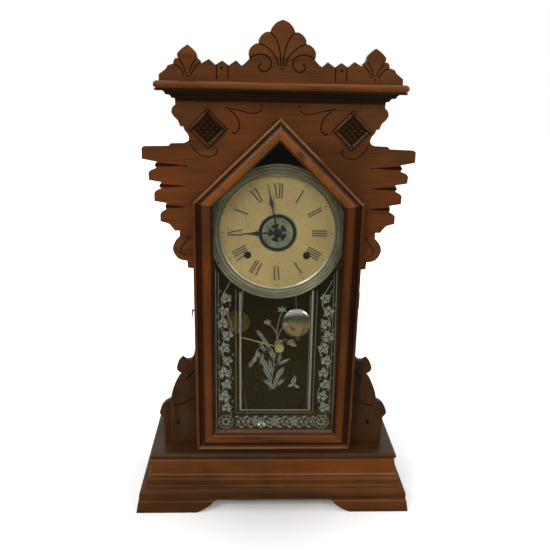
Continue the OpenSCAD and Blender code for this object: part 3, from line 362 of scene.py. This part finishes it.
# All that was drawn in a bmesh gets its thickness and becomes one piece
def printedPiece(name, bm, material, body):
    grown = bmesh.ops.extrude_face_region(bm, geom=bm.faces[:])["geom"]
    backs = [item for item in grown if isinstance(item, bmesh.types.BMVert)]
    bmesh.ops.translate(bm, vec=(0, inkThickness, 0), verts=backs)
    return meshObject(name, bm, material, body)


# Smooth curve through the points, with so many steps between two of them
def curved(points, steps):
    out = []
    for i in range(len(points) - 1):
        p = [Vector(points[max(i - 1, 0)]), Vector(points[i]), Vector(points[i + 1]),
             Vector(points[min(i + 2, len(points) - 1)])]
        for k in range(steps):
            t = k / steps
            q = 0.5 * (2 * p[1] + (p[2] - p[0]) * t + (2 * p[0] - 5 * p[1] + 4 * p[2] - p[3]) * t * t
                       + (3 * p[1] - p[0] - 3 * p[2] + p[3]) * t * t * t)
            out.append((q.x, q.y))
    out.append(tuple(points[-1]))
    return out


# Closed profile in millimetres, turned round an axis
def turned(profile, centre, axis, steps):
    bm = bmesh.new()
    loop = [bm.verts.new(Vector(p) / 1000) for p in profile]
    edges = [bm.edges.new((loop[i], loop[(i + 1) % len(loop)])) for i in range(len(loop))]
    bmesh.ops.spin(bm, geom=loop + edges, cent=Vector(centre) / 1000, axis=axis, angle=math.tau, steps=steps,
                   use_merge=True)
    bmesh.ops.remove_doubles(bm, verts=bm.verts, dist=0.000001)
    return bm


# Woodwork: every board keeps its imported shape and gets slightly rounded edges; on the door, base, cornice and beads
# the roundings are lighter (wear and painted highlight), on the other dark boards and the carvings darker (painted
# shade)

woodwork = {"edge": 0.00055, "carvedEdge": 0.0003, "edgeSteps": 2, "edgeAngle": 24, "flatAngle": 0.6, "edges": {
    "base": "worn", "red": "worn", "top": "worn", "dark": "shadedEdge", "shade": "shadedEdge", "door": "worn",
    "stile": "worn", "slope": "worn", "block": "shadedEdge"}, "boards": {
    "base_front_skirt": ("base", "x"), "base_side_skirts": ("base", "y"), "base_front_board": ("red", "x"),
    "base_side_boards": ("red", "y"), "base_top_board": ("top", "x"), "case_left_side": ("dark", "z"),
    "case_right_side": ("dark", "z"), "cornice_board": ("red", "x"), "bed_front": ("shade", "x"),
    "bed_sides": ("shade", "y"), "door_left_stile": ("door", "z"), "door_right_stile": ("stile", "z"),
    "door_bottom_rail": ("slope", "x"), "door_left_slope": ("slope", "down"), "door_right_slope": ("slope", "up"),
    "face_strips": ("dark", "z"), "case_back_board": ("sawn", "z"), "glue_blocks": ("block", "x"),
    "dial_blocks": ("block", "x"), "glass_beads": ("red", "z")},
    "carved": {"front_panel": ("panel", "x"), "crest_board": ("crest", "x"), "lower_lobes": ("dark", "x"),
               "left_bracket": ("bracket", "z"), "right_bracket": ("bracket", "z")}}


# Packed board with its edges rounded; the roundings take the second material
def softened(name, materials, width):
    bm = bmesh.new()
    bm.from_mesh(nodes[name].data)
    bmesh.ops.remove_doubles(bm, verts=bm.verts, dist=0.00001)
    bmesh.ops.dissolve_limit(bm, angle_limit=math.radians(woodwork["flatAngle"]), verts=bm.verts, edges=bm.edges)
    sharp = math.radians(woodwork["edgeAngle"])
    edges = [e for e in bm.edges if e.is_manifold and e.calc_face_angle() > sharp]
    bmesh.ops.bevel(bm, geom=edges, offset=width, segments=woodwork["edgeSteps"], profile=0.5, affect="EDGES",
                    clamp_overlap=True, material=1)
    obj = meshObject(name + "Soft", bm, materials, nodes[name]["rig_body"], angle=40)
    obj.modifiers.new("evenNormals", "WEIGHTED_NORMAL").keep_sharp = True
    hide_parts(name)
    return obj


# The back board is dull and nearly black where it faces the inside of the case: painted shade for the closed case
inside = woodOf("inner", "z")
setInputs(inside.node_tree.nodes["Principled BSDF"], Specular_IOR_Level=0)
for name, key in woodwork["boards"].items():
    isBack = name == "case_back_board"
    edge = inside if isBack else woodOf(woodwork["edges"][key[0]], "x")
    board = softened(name, [woodOf(*key), edge], woodwork["edge"])
    if isBack:
        for face in board.data.polygons:
            face.material_index = 1 if face.normal.y < -0.9 else 0
for name, key in woodwork["carved"].items():
    softened(name, [woodOf(*key), woodOf("shadedEdge", "x")], woodwork["carvedEdge"])
print("woodwork softened")

# Diamond blocks: moulded frame bars with beads at the corners round sixteen small pyramids

diamonds = {"x": 76.0, "z": 453.6, "half": 14.8, "plate": 1.4, "barAt": 12.6, "barLength": 10.4, "barRadius": 2.1,
            "bead": 2.15, "pitch": 4.7, "pyramid": 2.2, "tip": 0.5, "height": 2.0, "face": -28.0}
turn45 = Matrix.Rotation(math.radians(45), 4, "Y")
diamondBm = bmesh.new()


# What was made at the origin, in millimetres, goes to its block
def diamondPart(made, centreX):
    place = Matrix.Translation((centreX / 1000, diamonds["face"] / 1000, diamonds["z"] / 1000)) @ turn45
    bmesh.ops.scale(diamondBm, vec=(0.001, 0.001, 0.001), verts=made)
    bmesh.ops.transform(diamondBm, matrix=place, verts=made)


def diamondBar(along, offset, centreX):
    radius, plate = diamonds["barRadius"], diamonds["plate"]
    made = bmesh.ops.create_cone(diamondBm, cap_ends=True, segments=16, radius1=radius, radius2=radius,
                                 depth=2 * diamonds["barLength"])["verts"]
    if along == "x":
        bmesh.ops.rotate(diamondBm, cent=(0, 0, 0), matrix=Matrix.Rotation(math.radians(90), 3, "Y"), verts=made)
    bmesh.ops.translate(diamondBm, vec=(0, -plate, offset) if along == "x" else (offset, -plate, 0), verts=made)
    diamondPart(made, centreX)


plate, pitch, width, height = (diamonds[k] for k in ("plate", "pitch", "pyramid", "height"))
corners = (-diamonds["barAt"], diamonds["barAt"])
for centreX in (-diamonds["x"], diamonds["x"]):
    made = bmesh.ops.create_cube(diamondBm, size=1)["verts"]
    bmesh.ops.scale(diamondBm, vec=(2 * diamonds["half"], plate, 2 * diamonds["half"]), verts=made)
    bmesh.ops.translate(diamondBm, vec=(0, -plate / 2, 0), verts=made)
    diamondPart(made, centreX)
    for offset in corners:
        diamondBar("x", offset, centreX)
        diamondBar("z", offset, centreX)
        for other in corners:
            made = bmesh.ops.create_uvsphere(diamondBm, u_segments=16, v_segments=10,
                                             radius=diamonds["bead"])["verts"]
            bmesh.ops.translate(diamondBm, vec=(offset, -plate, other), verts=made)
            diamondPart(made, centreX)
    for i in range(4):
        for k in range(4):
            made = bmesh.ops.create_cone(diamondBm, cap_ends=True, segments=4, radius1=width * math.sqrt(2),
                                         radius2=diamonds["tip"], depth=height)["verts"]
            bmesh.ops.rotate(diamondBm, cent=(0, 0, 0), matrix=Matrix.Rotation(math.radians(45), 3, "Z"), verts=made)
            bmesh.ops.rotate(diamondBm, cent=(0, 0, 0), matrix=Matrix.Rotation(math.radians(90), 3, "X"), verts=made)
            bmesh.ops.translate(diamondBm, vec=((i - 1.5) * pitch, -plate - height / 2, (k - 1.5) * pitch),
                                verts=made)
            diamondPart(made, centreX)
diamondCarving = meshObject("diamondCarving", diamondBm, woodOf("diamond", "z"), "case",
                            angle=30)
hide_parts("diamond_blocks")
print("diamonds carved")

# Metal and small parts straight from the frame

finishes = [(metal["agedBrass"], ["door_hinge_leaves", "case_hinge_leaves", "fasteners", "hour_wheel",
                                  "minute_wheel", "front_plate", "back_plate", "alarm_unit"]),
            (metal["brightBrass"], ["strike_hammer"]), (metal["nickel"], ["alarm_bell"]),
            (metal["polishedNickel"], ["pendulum_bob"]), (metal["discNickel"], ["alarm_disc"]),
            (metal["steel"], ["mainsprings", "verge", "pendulum_rod"]), (metal["bluedSteel"], ["gong_coil"]),
            (metal["japannedIron"], ["gong_base", "alarm_hammer", "latch_hook"]),
            (black, ["hour_hand", "minute_hand"]), (clear, ["door_glass"])]
for material, members in finishes:
    for name in members:
        plain(name, material)
# Wheels and their places; the arbor in the middle of each is steel
arborRadius = 3.4
arbors = {"time_great_wheel": (33.7, 312.6), "strike_great_wheel": (-33.7, 312.6),
          "time_second_wheel": (18.14, 331.86), "centre_wheel": (0, 339), "third_wheel": (-7.42, 354.91),
          "escape_wheel": (5.6, 362.05), "strike_second_wheel": (-31, 337.2), "strike_pin_wheel": (-28, 354.44),
          "strike_warning_wheel": (-31, 369.44), "strike_fly": (-20.5, 375.99)}
for name, centre in arbors.items():
    core(name, [metal["agedBrass"], metal["darkSteel"]], centre, arborRadius)
# Lamps light the movement and the dial through the glass
nodes["door_glass"].visible_shadow = False
print("metal finished")

# Dial pan: paper-coloured face, a black dish behind the alarm disc, painted shade in the hole round the disc, and a
# turned edge round it in pale metal, a painted highlight

dial = {"centreX": 0.0, "centreZ": 339.0, "face": -0.01406, "inner": 39.5, "outer": 56.0, "thickStroke": 1.4,
        "thinStroke": 0.35, "serif": 0.5, "serifHalf": 1.15, "armInset": 1.0,
        "letterWidths": {"I": 2.75, "V": 5.2, "X": 5.6}, "markRadius": 60.6, "markLength": 2.3, "markHalf": 0.42,
        "markPoint": 0.5, "dishRadius": 21.3, "dishEdge": 22.4}
plain("dial_pan", [paper, black, metal["highlightBrass"]])
panMesh = nodes["dial_pan"].data
for face in panMesh.polygons:
    points = [panMesh.vertices[v].co for v in face.vertices]
    reach = max(math.hypot(p.x * 1000, p.z * 1000 - dial["centreZ"]) for p in points)
    # Dish faces take the black, painted shade; rim faces take the pale metal, painted highlight
    face.material_index = 1 if reach < dial["dishRadius"] else 2 if reach < dial["dishEdge"] else 0

# Bezel: the imported ring turned again with a wide hollow band and an inner edge in pale metal, a painted highlight

bezel = {"outer": 78.0, "dialEdge": 64.4, "highlightEdge": 1.9, "back": -14.0, "steps": 160, "roll": 1.5,
         "seat": ((8, 0), (8, -1.9), (0, -1.9)), "rolls": ((1.5, 2.5), (4.5, 2.2)),
         "band": ((6.4, 2.3), (6.9, 3.1), (7.6, 3.0), (9, 2.3), (10.4, 1.9)),
         "lip": ((2.0, 1.8), (1.7, 2.4), (1.2, 2.85), (0.6, 2.75), (0.1, 2.2), (0, 1.4), (0, 0))}
# Profile: seat, rolled edges and band are measured inwards from the rim, the lip outwards from the dial's edge
rim, mouth, roll = bezel["outer"], bezel["dialEdge"], bezel["roll"]
section = [(rim - inset, height) for inset, height in bezel["seat"]]
for inset, height in bezel["rolls"]:
    for i in range(13):
        a = math.radians(15 * i)
        section.append((rim - inset + roll * math.cos(a), height + roll * math.sin(a)))
section += [(rim - inset, height) for inset, height in bezel["band"]]
section += [(mouth + offset, height) for offset, height in bezel["lip"]]
bezelBm = turned([(u, bezel["back"] - h, dial["centreZ"]) for u, h in section], (0, 0, dial["centreZ"]), (0, 1, 0),
                 bezel["steps"])
for face in bezelBm.faces:
    middle = face.calc_center_median()
    reach = math.hypot(middle.x, middle.z - dial["centreZ"] / 1000) * 1000
    face.material_index = 1 if reach < mouth + bezel["highlightEdge"] else 0
bezelRing = meshObject("bezelRing", bezelBm, [metal["bezelBrass"], metal["highlightBrass"]], "case",
                       angle=50)
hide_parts("dial_bezel")
print("dial pan and bezel made")

# Printed dial: radial numerals and a small mark at every hour


# Place on the dial: v outwards from the centre, u across, at an angle clockwise from twelve
def dialPoint(turnDeg, u, v):
    a = math.radians(turnDeg)
    return (dial["centreX"] + v * math.sin(a) + u * math.cos(a), dial["centreZ"] + v * math.cos(a) - u * math.sin(a))


def dialShape(bm, turnDeg, points):
    flatShape(bm, [dialPoint(turnDeg, u, v) for u, v in points], dial["face"])


def numeral(bm, turnDeg, letters):
    low, high = dial["inner"], dial["outer"]
    thick, thin, serif = dial["thickStroke"] / 2, dial["thinStroke"] / 2, dial["serif"]
    half, widths = dial["serifHalf"], dial["letterWidths"]
    start = -sum(widths[c] for c in letters) / 2
    for c in letters:
        w = widths[c]
        mid = start + w / 2
        arm = w / 2 - dial["armInset"]
        if c == "I":
            bars = [((mid, low), (mid, high), thick)]
        elif c == "V":
            bars = [((mid, low), (mid - arm, high), thick), ((mid, low), (mid + arm, high), thin)]
        else:
            bars = [((mid + arm, low), (mid - arm, high), thick), ((mid - arm, low), (mid + arm, high), thin)]
        for (u0, v0), (u1, v1), pen in bars:
            dialShape(bm, turnDeg, [(u0 - pen, v0), (u0 + pen, v0), (u1 + pen, v1), (u1 - pen, v1)])
        for v0, v1 in ((low, low + serif), (high - serif, high)):
            if c == "V" and v0 == low:
                continue
            for u in (mid,) if c == "I" else (mid - arm, mid + arm):
                dialShape(bm, turnDeg, [(u - half, v0), (u + half, v0), (u + half, v1), (u - half, v1)])
        start += w


printed = bmesh.new()
for hour, letters in enumerate(["XII", "I", "II", "III", "IIII", "V", "VI", "VII", "VIII", "IX", "X", "XI"]):
    numeral(printed, hour * 30, letters)
for hour in range(12):
    u, v, top = dial["markHalf"], dial["markRadius"], dial["markRadius"] + dial["markLength"]
    dialShape(printed, hour * 30, [(-u, v), (0, v - dial["markPoint"]), (u, v), (u, top), (-u, top)])
printedPiece("dialPrint", printed, ink, "case")
print("dial printed")

# Alarm disc: small figures 1 to 12 round its edge, drawn as strokes

figures = {"height": 2.4, "width": 1.3, "spacing": 1.755, "indent": 0.2, "stroke": 0.4, "radius": 14.0,
           "face": -0.01406}
digitStrokes = {"0": [[(0, 0), (1, 0), (1, 1), (0, 1), (0, 0)]], "1": [[(0.5, 0), (0.5, 1), (0.2, 0.75)]],
                "2": [[(0, 0.8), (0.3, 1), (0.9, 0.85), (0.8, 0.55), (0, 0), (1, 0)]],
                "3": [[(0, 1), (0.9, 1), (0.45, 0.58), (0.95, 0.35), (0.6, 0), (0, 0.1)]],
                "4": [[(0.75, 0), (0.75, 1), (0, 0.3), (1, 0.3)]],
                "5": [[(0.9, 1), (0.1, 1), (0.1, 0.55), (0.8, 0.5), (0.9, 0.15), (0.4, 0), (0, 0.1)]],
                "6": [[(0.9, 0.95), (0.2, 0.6), (0.1, 0.15), (0.5, 0), (0.9, 0.25), (0.6, 0.5), (0.1, 0.35)]],
                "7": [[(0, 1), (1, 1), (0.4, 0)]],
                "8": [[(0.5, 0.55), (0.1, 0.8), (0.5, 1), (0.9, 0.8), (0.5, 0.55), (0.05, 0.25), (0.5, 0),
                       (0.95, 0.25), (0.5, 0.55)]],
                "9": [[(0.1, 0.05), (0.8, 0.4), (0.9, 0.85), (0.5, 1), (0.1, 0.75), (0.4, 0.5), (0.9, 0.65)]]}
alarmPrint = bmesh.new()
for hour in range(1, 13):
    text = str(hour)
    for k, digit in enumerate(text):
        left = (k - len(text) / 2) * figures["spacing"] + figures["indent"]
        for path in digitStrokes[digit]:
            points = [dialPoint(hour * 30, left + u * figures["width"],
                                figures["radius"] - figures["height"] / 2 + v * figures["height"]) for u, v in path]
            ribbon(alarmPrint, points, figures["stroke"], figures["face"])
printedPiece("alarmFigures", alarmPrint, ink, "alarm_setting")
print("alarm disc figured")

# Ornament printed on the back of the door glass, all in millimetres on the glass

glassPrint = {"plane": -0.02986, "vine": 0.7, "vineMiddle": 57.5, "vineSwing": 5.4, "vineWave": 9.4, "leaf": 6.9,
              "vein": 0.7, "rib": 0.45, "seed": 7, "band": 106.5, "rosettes": (-58.5, 57.5),
              "rings": ((9.2, 0.6), (7.6, 0.4), (4.4, 0.6)), "scrolls": 16, "scrollStart": -44, "scrollPitch": 5.9,
              "stem": 0.75, "fullness": 1.2}
random.seed(glassPrint["seed"])
ornament = bmesh.new()
glassBack = glassPrint["plane"]
halfIvy = [(0.02, -0.95), (0.14, -0.55), (0.42, -0.78), (0.98, -0.52), (0.86, -0.12), (0.62, 0.02), (0.96, 0.42),
           (0.92, 0.66), (0.55, 0.58), (0.3, 0.62), (0.16, 0.96)]
ivy = [*halfIvy, (0, 1.2), *((-u, v) for u, v in halfIvy[::-1])]


def leaf(x, z, size, turnDeg, outline=ivy):
    a = math.radians(turnDeg)
    flatShape(ornament, [(x + size * (u * math.cos(a) + v * math.sin(a)),
                          z + size * (v * math.cos(a) - u * math.sin(a))) for u, v in outline], glassBack)


# Ivy leaf with open veins along its middle and out to its side points
def veined(x, z, size, turnDeg):
    gap = glassPrint["vein"] / size / 2
    upper = [(gap, -0.12), (1.04, 0.34), (0.52, 0.34), (0.34, 0.72), (gap, 1.25)]
    lower = [(gap, -0.5), (0.3, -0.85), (0.78, -0.78), (0.72, -0.38), (1.08, 0.16), (gap, -0.3)]
    for flip in (1, -1):
        for part in (upper, lower):
            leaf(x, z, size, turnDeg, [(flip * u, v) for u, v in part])


# Narrow leaf; a large one is split along its rib
def blade(x, z, size, turnDeg, slim):
    rib = glassPrint["rib"] / size if size > 5 else 0
    for flip in (1, -1) if rib else (1,):
        outline = [(rib, -0.9), (slim + rib, -0.35), (slim * 0.9 + rib, 0.3), (rib, 1)]
        if not rib:
            outline = [(0, -1), *outline[1:], (-slim * 0.9, 0.3), (-slim, -0.35)]
        leaf(x, z, size, turnDeg, [(flip * u, v) for u, v in outline])


# Spiral that closes in to a quarter of its size
def curl(x, z, size, startDeg, way, turns, width):
    points, count = [], int(16 * turns)
    for i in range(count + 1):
        radius, a = size * (1 - 0.75 * i / count), math.radians(startDeg + way * 22.5 * i)
        points.append((x + radius * math.cos(a), z + radius * math.sin(a)))
    ribbon(ornament, points, width, glassBack)


# Frame lines
for points, width in (([(-69.2, 300), (-70.1, 94.6)], 0.7), ([(-46.5, 276), (-46.3, 119)], 0.45),
                      ([(-41.6, 273), (-40.9, 123)], 2.3), ([(-42, 122.6), (42.8, 122.6)], 1.3),
                      ([(-46.4, 119), (46.6, 119)], 0.45), ([(41.2, 276), (42.2, 123)], 2.3),
                      ([(46.2, 276), (46.6, 119.2)], 0.45), ([(67.6, 300), (71.6, 94.5)], 0.7),
                      ([(-70.2, 93.8), (71.2, 93.8)], 0.8), ([(64.6, 296), (67, 118)], 0.4),
                      ([(-66.2, 296), (-66.4, 118)], 0.4), ([(38.6, 270), (39.6, 126)], 0.4)):
    ribbon(ornament, points, width, glassBack)
# Vines up both sides
for side, leaves in ((-1, [(-57.8, 266), (-60.2, 250), (-61.5, 235.5), (-56.5, 220), (-59.6, 204), (-56.8, 188),
                           (-60.2, 172.5), (-57.3, 157), (-60.1, 141), (-57.4, 126.5)]),
                     (1, [(56.2, 266.6), (60.2, 250.5), (57, 235), (60.9, 219.4), (56.6, 204.1), (60.5, 188.5),
                          (57.4, 172.4), (60.8, 157.1), (57.5, 141.9), (60.2, 126.5)])):
    middle = side * glassPrint["vineMiddle"]
    swing, wave = glassPrint["vineSwing"], glassPrint["vineWave"]
    stem = [(middle + swing * math.sin((z - 100) / wave), z) for z in range(112, 290, 2)]
    ribbon(ornament, stem, glassPrint["vine"], glassBack)
    for i, (x, z) in enumerate(leaves):
        tilt = random.uniform(-55, 55) + (180 if i % 3 == 1 else 0)
        veined(x, z, glassPrint["leaf"] * random.uniform(0.9, 1.1), tilt)
        curl(x + side * 6.0, z + 8.2, 2.0, 90, -side, 1.1, 0.4)
        if i % 2:
            curl(x - side * 6.6, z + 7.6, 1.8, 90, side, 1.1, 0.4)
# Bottom band: a rosette at each end, scrolls between them and three flowers on top
middle = glassPrint["band"]
for centre in glassPrint["rosettes"]:
    for radius, width in glassPrint["rings"]:
        circle = [math.radians(12 * i) for i in range(31)]
        ribbon(ornament, [(centre + radius * math.cos(a), middle + radius * math.sin(a)) for a in circle], width,
               glassBack)
    for k in range(8):
        a = math.radians(45 * k)
        blade(centre + 4.4 * math.cos(a), middle + 4.4 * math.sin(a), 2.6, 90 - 45 * k, 0.42)
for i in range(glassPrint["scrolls"]):
    x = glassPrint["scrollStart"] + i * glassPrint["scrollPitch"]
    up = 1 if i % 2 else -1
    curl(x, middle + up * 3.2, 3.2, -90 * up, up, 1.6, 0.6)
    curl(x + 2.4, middle - up * 4.4, 2.2, 90 * up, -up, 1.4, 0.5)
    blade(x + 2.9, middle + up * 6.6, 2.4, 40 * up, 0.45)
    blade(x - 1.2, middle - up * 6.9, 2.2, -55 * up, 0.5)
    leaf(x + 0.6, middle - up * 0.4, 1.9, 37 * i)
for x, z, size in ((0, 106.5, 7.6), (-22, 106, 6.2), (24, 107, 6.4)):
    for k in range(7):
        a = math.radians(360 / 7 * k)
        blade(x + size * 0.55 * math.sin(a), z + size * 0.55 * math.cos(a), size * 0.5, math.degrees(a), 0.38)
# Flower spray in the middle: stems, leaves and heads
sprayStems = [[(-5.7, 149.3), (-3.6, 165.3), (-1.6, 186.3), (1.5, 208.1), (1.1, 227.1), (5.1, 247)],
              [(1.1, 222), (-3.5, 230), (-9.5, 235)], [(1.5, 215), (5, 226), (10.2, 233.4)],
              [(-1.6, 186.3), (-7.7, 199.1), (-14, 204.5), (-20.7, 202.9), (-24.1, 193.9)],
              [(-1.6, 182), (7, 186), (16, 190.2)], [(1.5, 208), (7, 214), (13, 215)]]
for points in sprayStems:
    ribbon(ornament, curved(points, 6), glassPrint["stem"], glassBack)
for x, z, size, turnDeg, slim in ((-12, 212, 13, -32, 0.1), (-18.5, 222, 7, -40, 0.2), (-28.5, 184, 6, 25, 0.2),
                                  (-24.4, 190, 4.6, 20, 0.42), (-20.6, 196, 5.2, -5, 0.3), (-12.4, 184, 14, -22, 0.11),
                                  (-8.6, 170, 11, -30, 0.13), (-3.4, 196, 10, -14, 0.14), (17, 212, 5.6, 60, 0.32),
                                  (21, 208, 4.2, 100, 0.3), (9, 186.5, 9, 62, 0.12), (5.4, 172, 10, 32, 0.2),
                                  (2, 164, 9, 22, 0.16), (22.5, 162, 7.5, 14, 0.24), (19.6, 156, 4.6, 70, 0.34),
                                  (25.8, 154.6, 4.2, -60, 0.34), (-6, 158, 7, -16, 0.2), (-1, 155, 6, 20, 0.2),
                                  (-15.6, 206, 9, -24, 0.12), (-16, 190, 8, 12, 0.16), (-5.6, 180, 12, -8, 0.1),
                                  (4.8, 192, 8, 16, 0.12), (-9.6, 160, 6, -50, 0.2), (6.6, 160, 7, 46, 0.18)):
    blade(x, z, size, turnDeg, slim * glassPrint["fullness"])
for x, z, size in ((6.5, 252.5, 5.4), (-10, 237, 4.4), (11, 234.5, 3.4), (20, 210, 3.4)):
    for k in range(6):
        a = k * 1.05
        blade(x + size * 0.6 * math.sin(a), z + size * 0.42 * math.cos(a), size * 0.5, k * 60, 0.36)
printedPiece("glassOrnament", ornament, silverInk, "door")
print("glass printed")

# Stage: pale floor that the camera sees as white, soft light and the photograph's view

stage = {"floorSize": 3.0, "floorFront": -0.42, "floorDrop": 0.0002, "floorColour": (0.9, 0.9, 0.9),
         "glow": [(0.06, (0, 0, 0)), (0.13, (0.22, 0.22, 0.22)), (0.3, (0.45, 0.45, 0.45)), (0.9, (1, 1, 1))],
         "worldLight": 0.5, "room": (0.06, 0.06, 0.06), "ceiling": (0.62, 0.62, 0.58), "below": (0.26, 0.19, 0.08),
         "lampTarget": (0, 0, 0.28)}
# Place of each lamp, its power and its size
lamps = {"key": ((-1.1, -1.5, 1.7), 24, 0.9), "fill": ((1.4, -1.5, 1.2), 11, 0.9), "top": ((0.1, 0.2, 2.1), 9, 1.4)}
floorBm = bmesh.new()
bmesh.ops.create_grid(floorBm, x_segments=1, y_segments=1, size=stage["floorSize"])
bmesh.ops.translate(floorBm, vec=(0, stage["floorFront"] + stage["floorSize"], 0), verts=floorBm.verts)
floorMesh = bpy.data.meshes.new("floor")
floorBm.to_mesh(floorMesh)
floorBm.free()
floor = bpy.data.objects.new("floor", floorMesh)
floor.location.z = -stage["floorDrop"]
bpy.context.scene.collection.objects.link(floor)
floorMaterial, tree, shader = newMaterial("floorPale")
setInputs(shader, Roughness=0.9)


def computed(tree, operation, first, second):
    node = addNode(tree, "ShaderNodeMath", operation=operation)
    for socket, value in zip(node.inputs, (first, second)):
        if isinstance(value, (int, float)):
            socket.default_value = value
        else:
            tree.links.new(value, socket)
    return node.outputs[0]


# 1 for rays straight from the camera, or from the camera through glass only
def seenRay(tree):
    rays = addNode(tree, "ShaderNodeLightPath")
    bounces = computed(tree, "ADD", rays.outputs["Diffuse Depth"], rays.outputs["Glossy Depth"])
    direct = computed(tree, "LESS_THAN", bounces, 0.5)
    through = computed(tree, "MULTIPLY", rays.outputs["Is Transmission Ray"], direct)
    return computed(tree, "MAXIMUM", rays.outputs["Is Camera Ray"], through)


# 1 for rays that a polished part has mirrored
def mirroredRay(tree):
    rays = addNode(tree, "ShaderNodeLightPath")
    bounces = computed(tree, "SUBTRACT", rays.outputs["Glossy Depth"], rays.outputs["Diffuse Depth"])
    return computed(tree, "GREATER_THAN", bounces, 0.5)


tree.links.new(seenRay(tree), shader.inputs["Emission Strength"])
tree.links.new(blended(tree, "MIX", mirroredRay(tree), stage["floorColour"], stage["below"]),
               shader.inputs["Base Color"])
# The floor glows less near the clock, so that the clock's shadow shows
reach = addNode(tree, "ShaderNodeVectorMath", operation="LENGTH")
tree.links.new(ownPlace(tree), reach.inputs[0])
tree.links.new(ramp(tree, reach.outputs["Value"], stage["glow"]), shader.inputs["Emission Color"])
floorMesh.materials.append(floorMaterial)

world = bpy.data.worlds.new("studio")
bpy.context.scene.world = world
world.use_nodes = True
tree = world.node_tree
backdrop = tree.nodes["Background"]
setInputs(backdrop, Color=(1, 1, 1, 1), Strength=stage["worldLight"])
seen = addNode(tree, "ShaderNodeBackground")
setInputs(seen, Color=(1, 1, 1, 1), Strength=1.0)
mixer = addNode(tree, "ShaderNodeMixShader")
tree.links.new(seenRay(tree), mixer.inputs[0])
tree.links.new(seen.outputs[0], mixer.inputs[2])

# Polished parts mirror the pale backdrop behind the clock and a dim room in front of it
mirrored = addNode(tree, "ShaderNodeBackground")
coords = addNode(tree, "ShaderNodeTexCoord")
split = addNode(tree, "ShaderNodeSeparateXYZ")
tree.links.new(coords.outputs["Generated"], split.inputs["Vector"])
height = computed(tree, "MULTIPLY", computed(tree, "ADD", split.outputs["Z"], 1.0), 0.5)
roomColour = ramp(tree, height, [(0.3, stage["below"]), (0.4, stage["room"]), (0.48, stage["room"]),
                                 (0.62, stage["ceiling"])])
behind = ramp(tree, split.outputs["Y"], [(0.0, (0, 0, 0)), (0.3, (1, 1, 1))])
tree.links.new(blended(tree, "MIX", behind, roomColour, (1.0, 1.0, 1.0)), mirrored.inputs["Color"])
glossy = addNode(tree, "ShaderNodeMixShader")
tree.links.new(mirroredRay(tree), glossy.inputs[0])
tree.links.new(backdrop.outputs[0], glossy.inputs[1])
tree.links.new(mirrored.outputs[0], glossy.inputs[2])
tree.links.new(glossy.outputs[0], mixer.inputs[1])
tree.links.new(mixer.outputs[0], tree.nodes["World Output"].inputs["Surface"])

for name, (place, power, size) in lamps.items():
    data = bpy.data.lights.new(name, "AREA")
    data.energy = power
    data.shape = "SQUARE"
    data.size = size
    lamp = bpy.data.objects.new(name, data)
    lamp.location = place
    lamp.rotation_euler = (Vector(stage["lampTarget"]) - lamp.location).to_track_quat("-Z", "Y").to_euler()
    bpy.context.scene.collection.objects.link(lamp)

# Camera of the photograph: place in metres, angles in degrees, lens and sensor in millimetres
view = {"place": (-0.0296, -0.6874, 0.5030), "yaw": -2.36, "pitch": 17.62, "roll": 1.20, "lens": 40.07, "sensor": 36,
        "nearest": 0.01}
yaw, pitch, roll = (math.radians(view[k]) for k in ("yaw", "pitch", "roll"))
right = Vector((math.cos(yaw), math.sin(yaw), 0))
ahead = Vector((-math.sin(yaw), math.cos(yaw), 0))
forward = math.cos(pitch) * ahead + Vector((0, 0, -math.sin(pitch)))
upward = math.sin(pitch) * ahead + Vector((0, 0, math.cos(pitch)))
sideways = math.cos(roll) * right + math.sin(roll) * upward
above = math.cos(roll) * upward - math.sin(roll) * right
cameraData = bpy.data.cameras.new("photoView")
cameraData.lens = view["lens"]
cameraData.sensor_width = view["sensor"]
cameraData.clip_start = view["nearest"]
camera = bpy.data.objects.new("photoView", cameraData)
camera.matrix_world = Matrix(((sideways.x, above.x, -forward.x, view["place"][0]),
                              (sideways.y, above.y, -forward.y, view["place"][1]),
                              (sideways.z, above.z, -forward.z, view["place"][2]), (0, 0, 0, 1)))
bpy.context.scene.collection.objects.link(camera)
bpy.context.scene.camera = camera
bpy.context.scene.view_settings.view_transform = "Standard"
print("stage set")
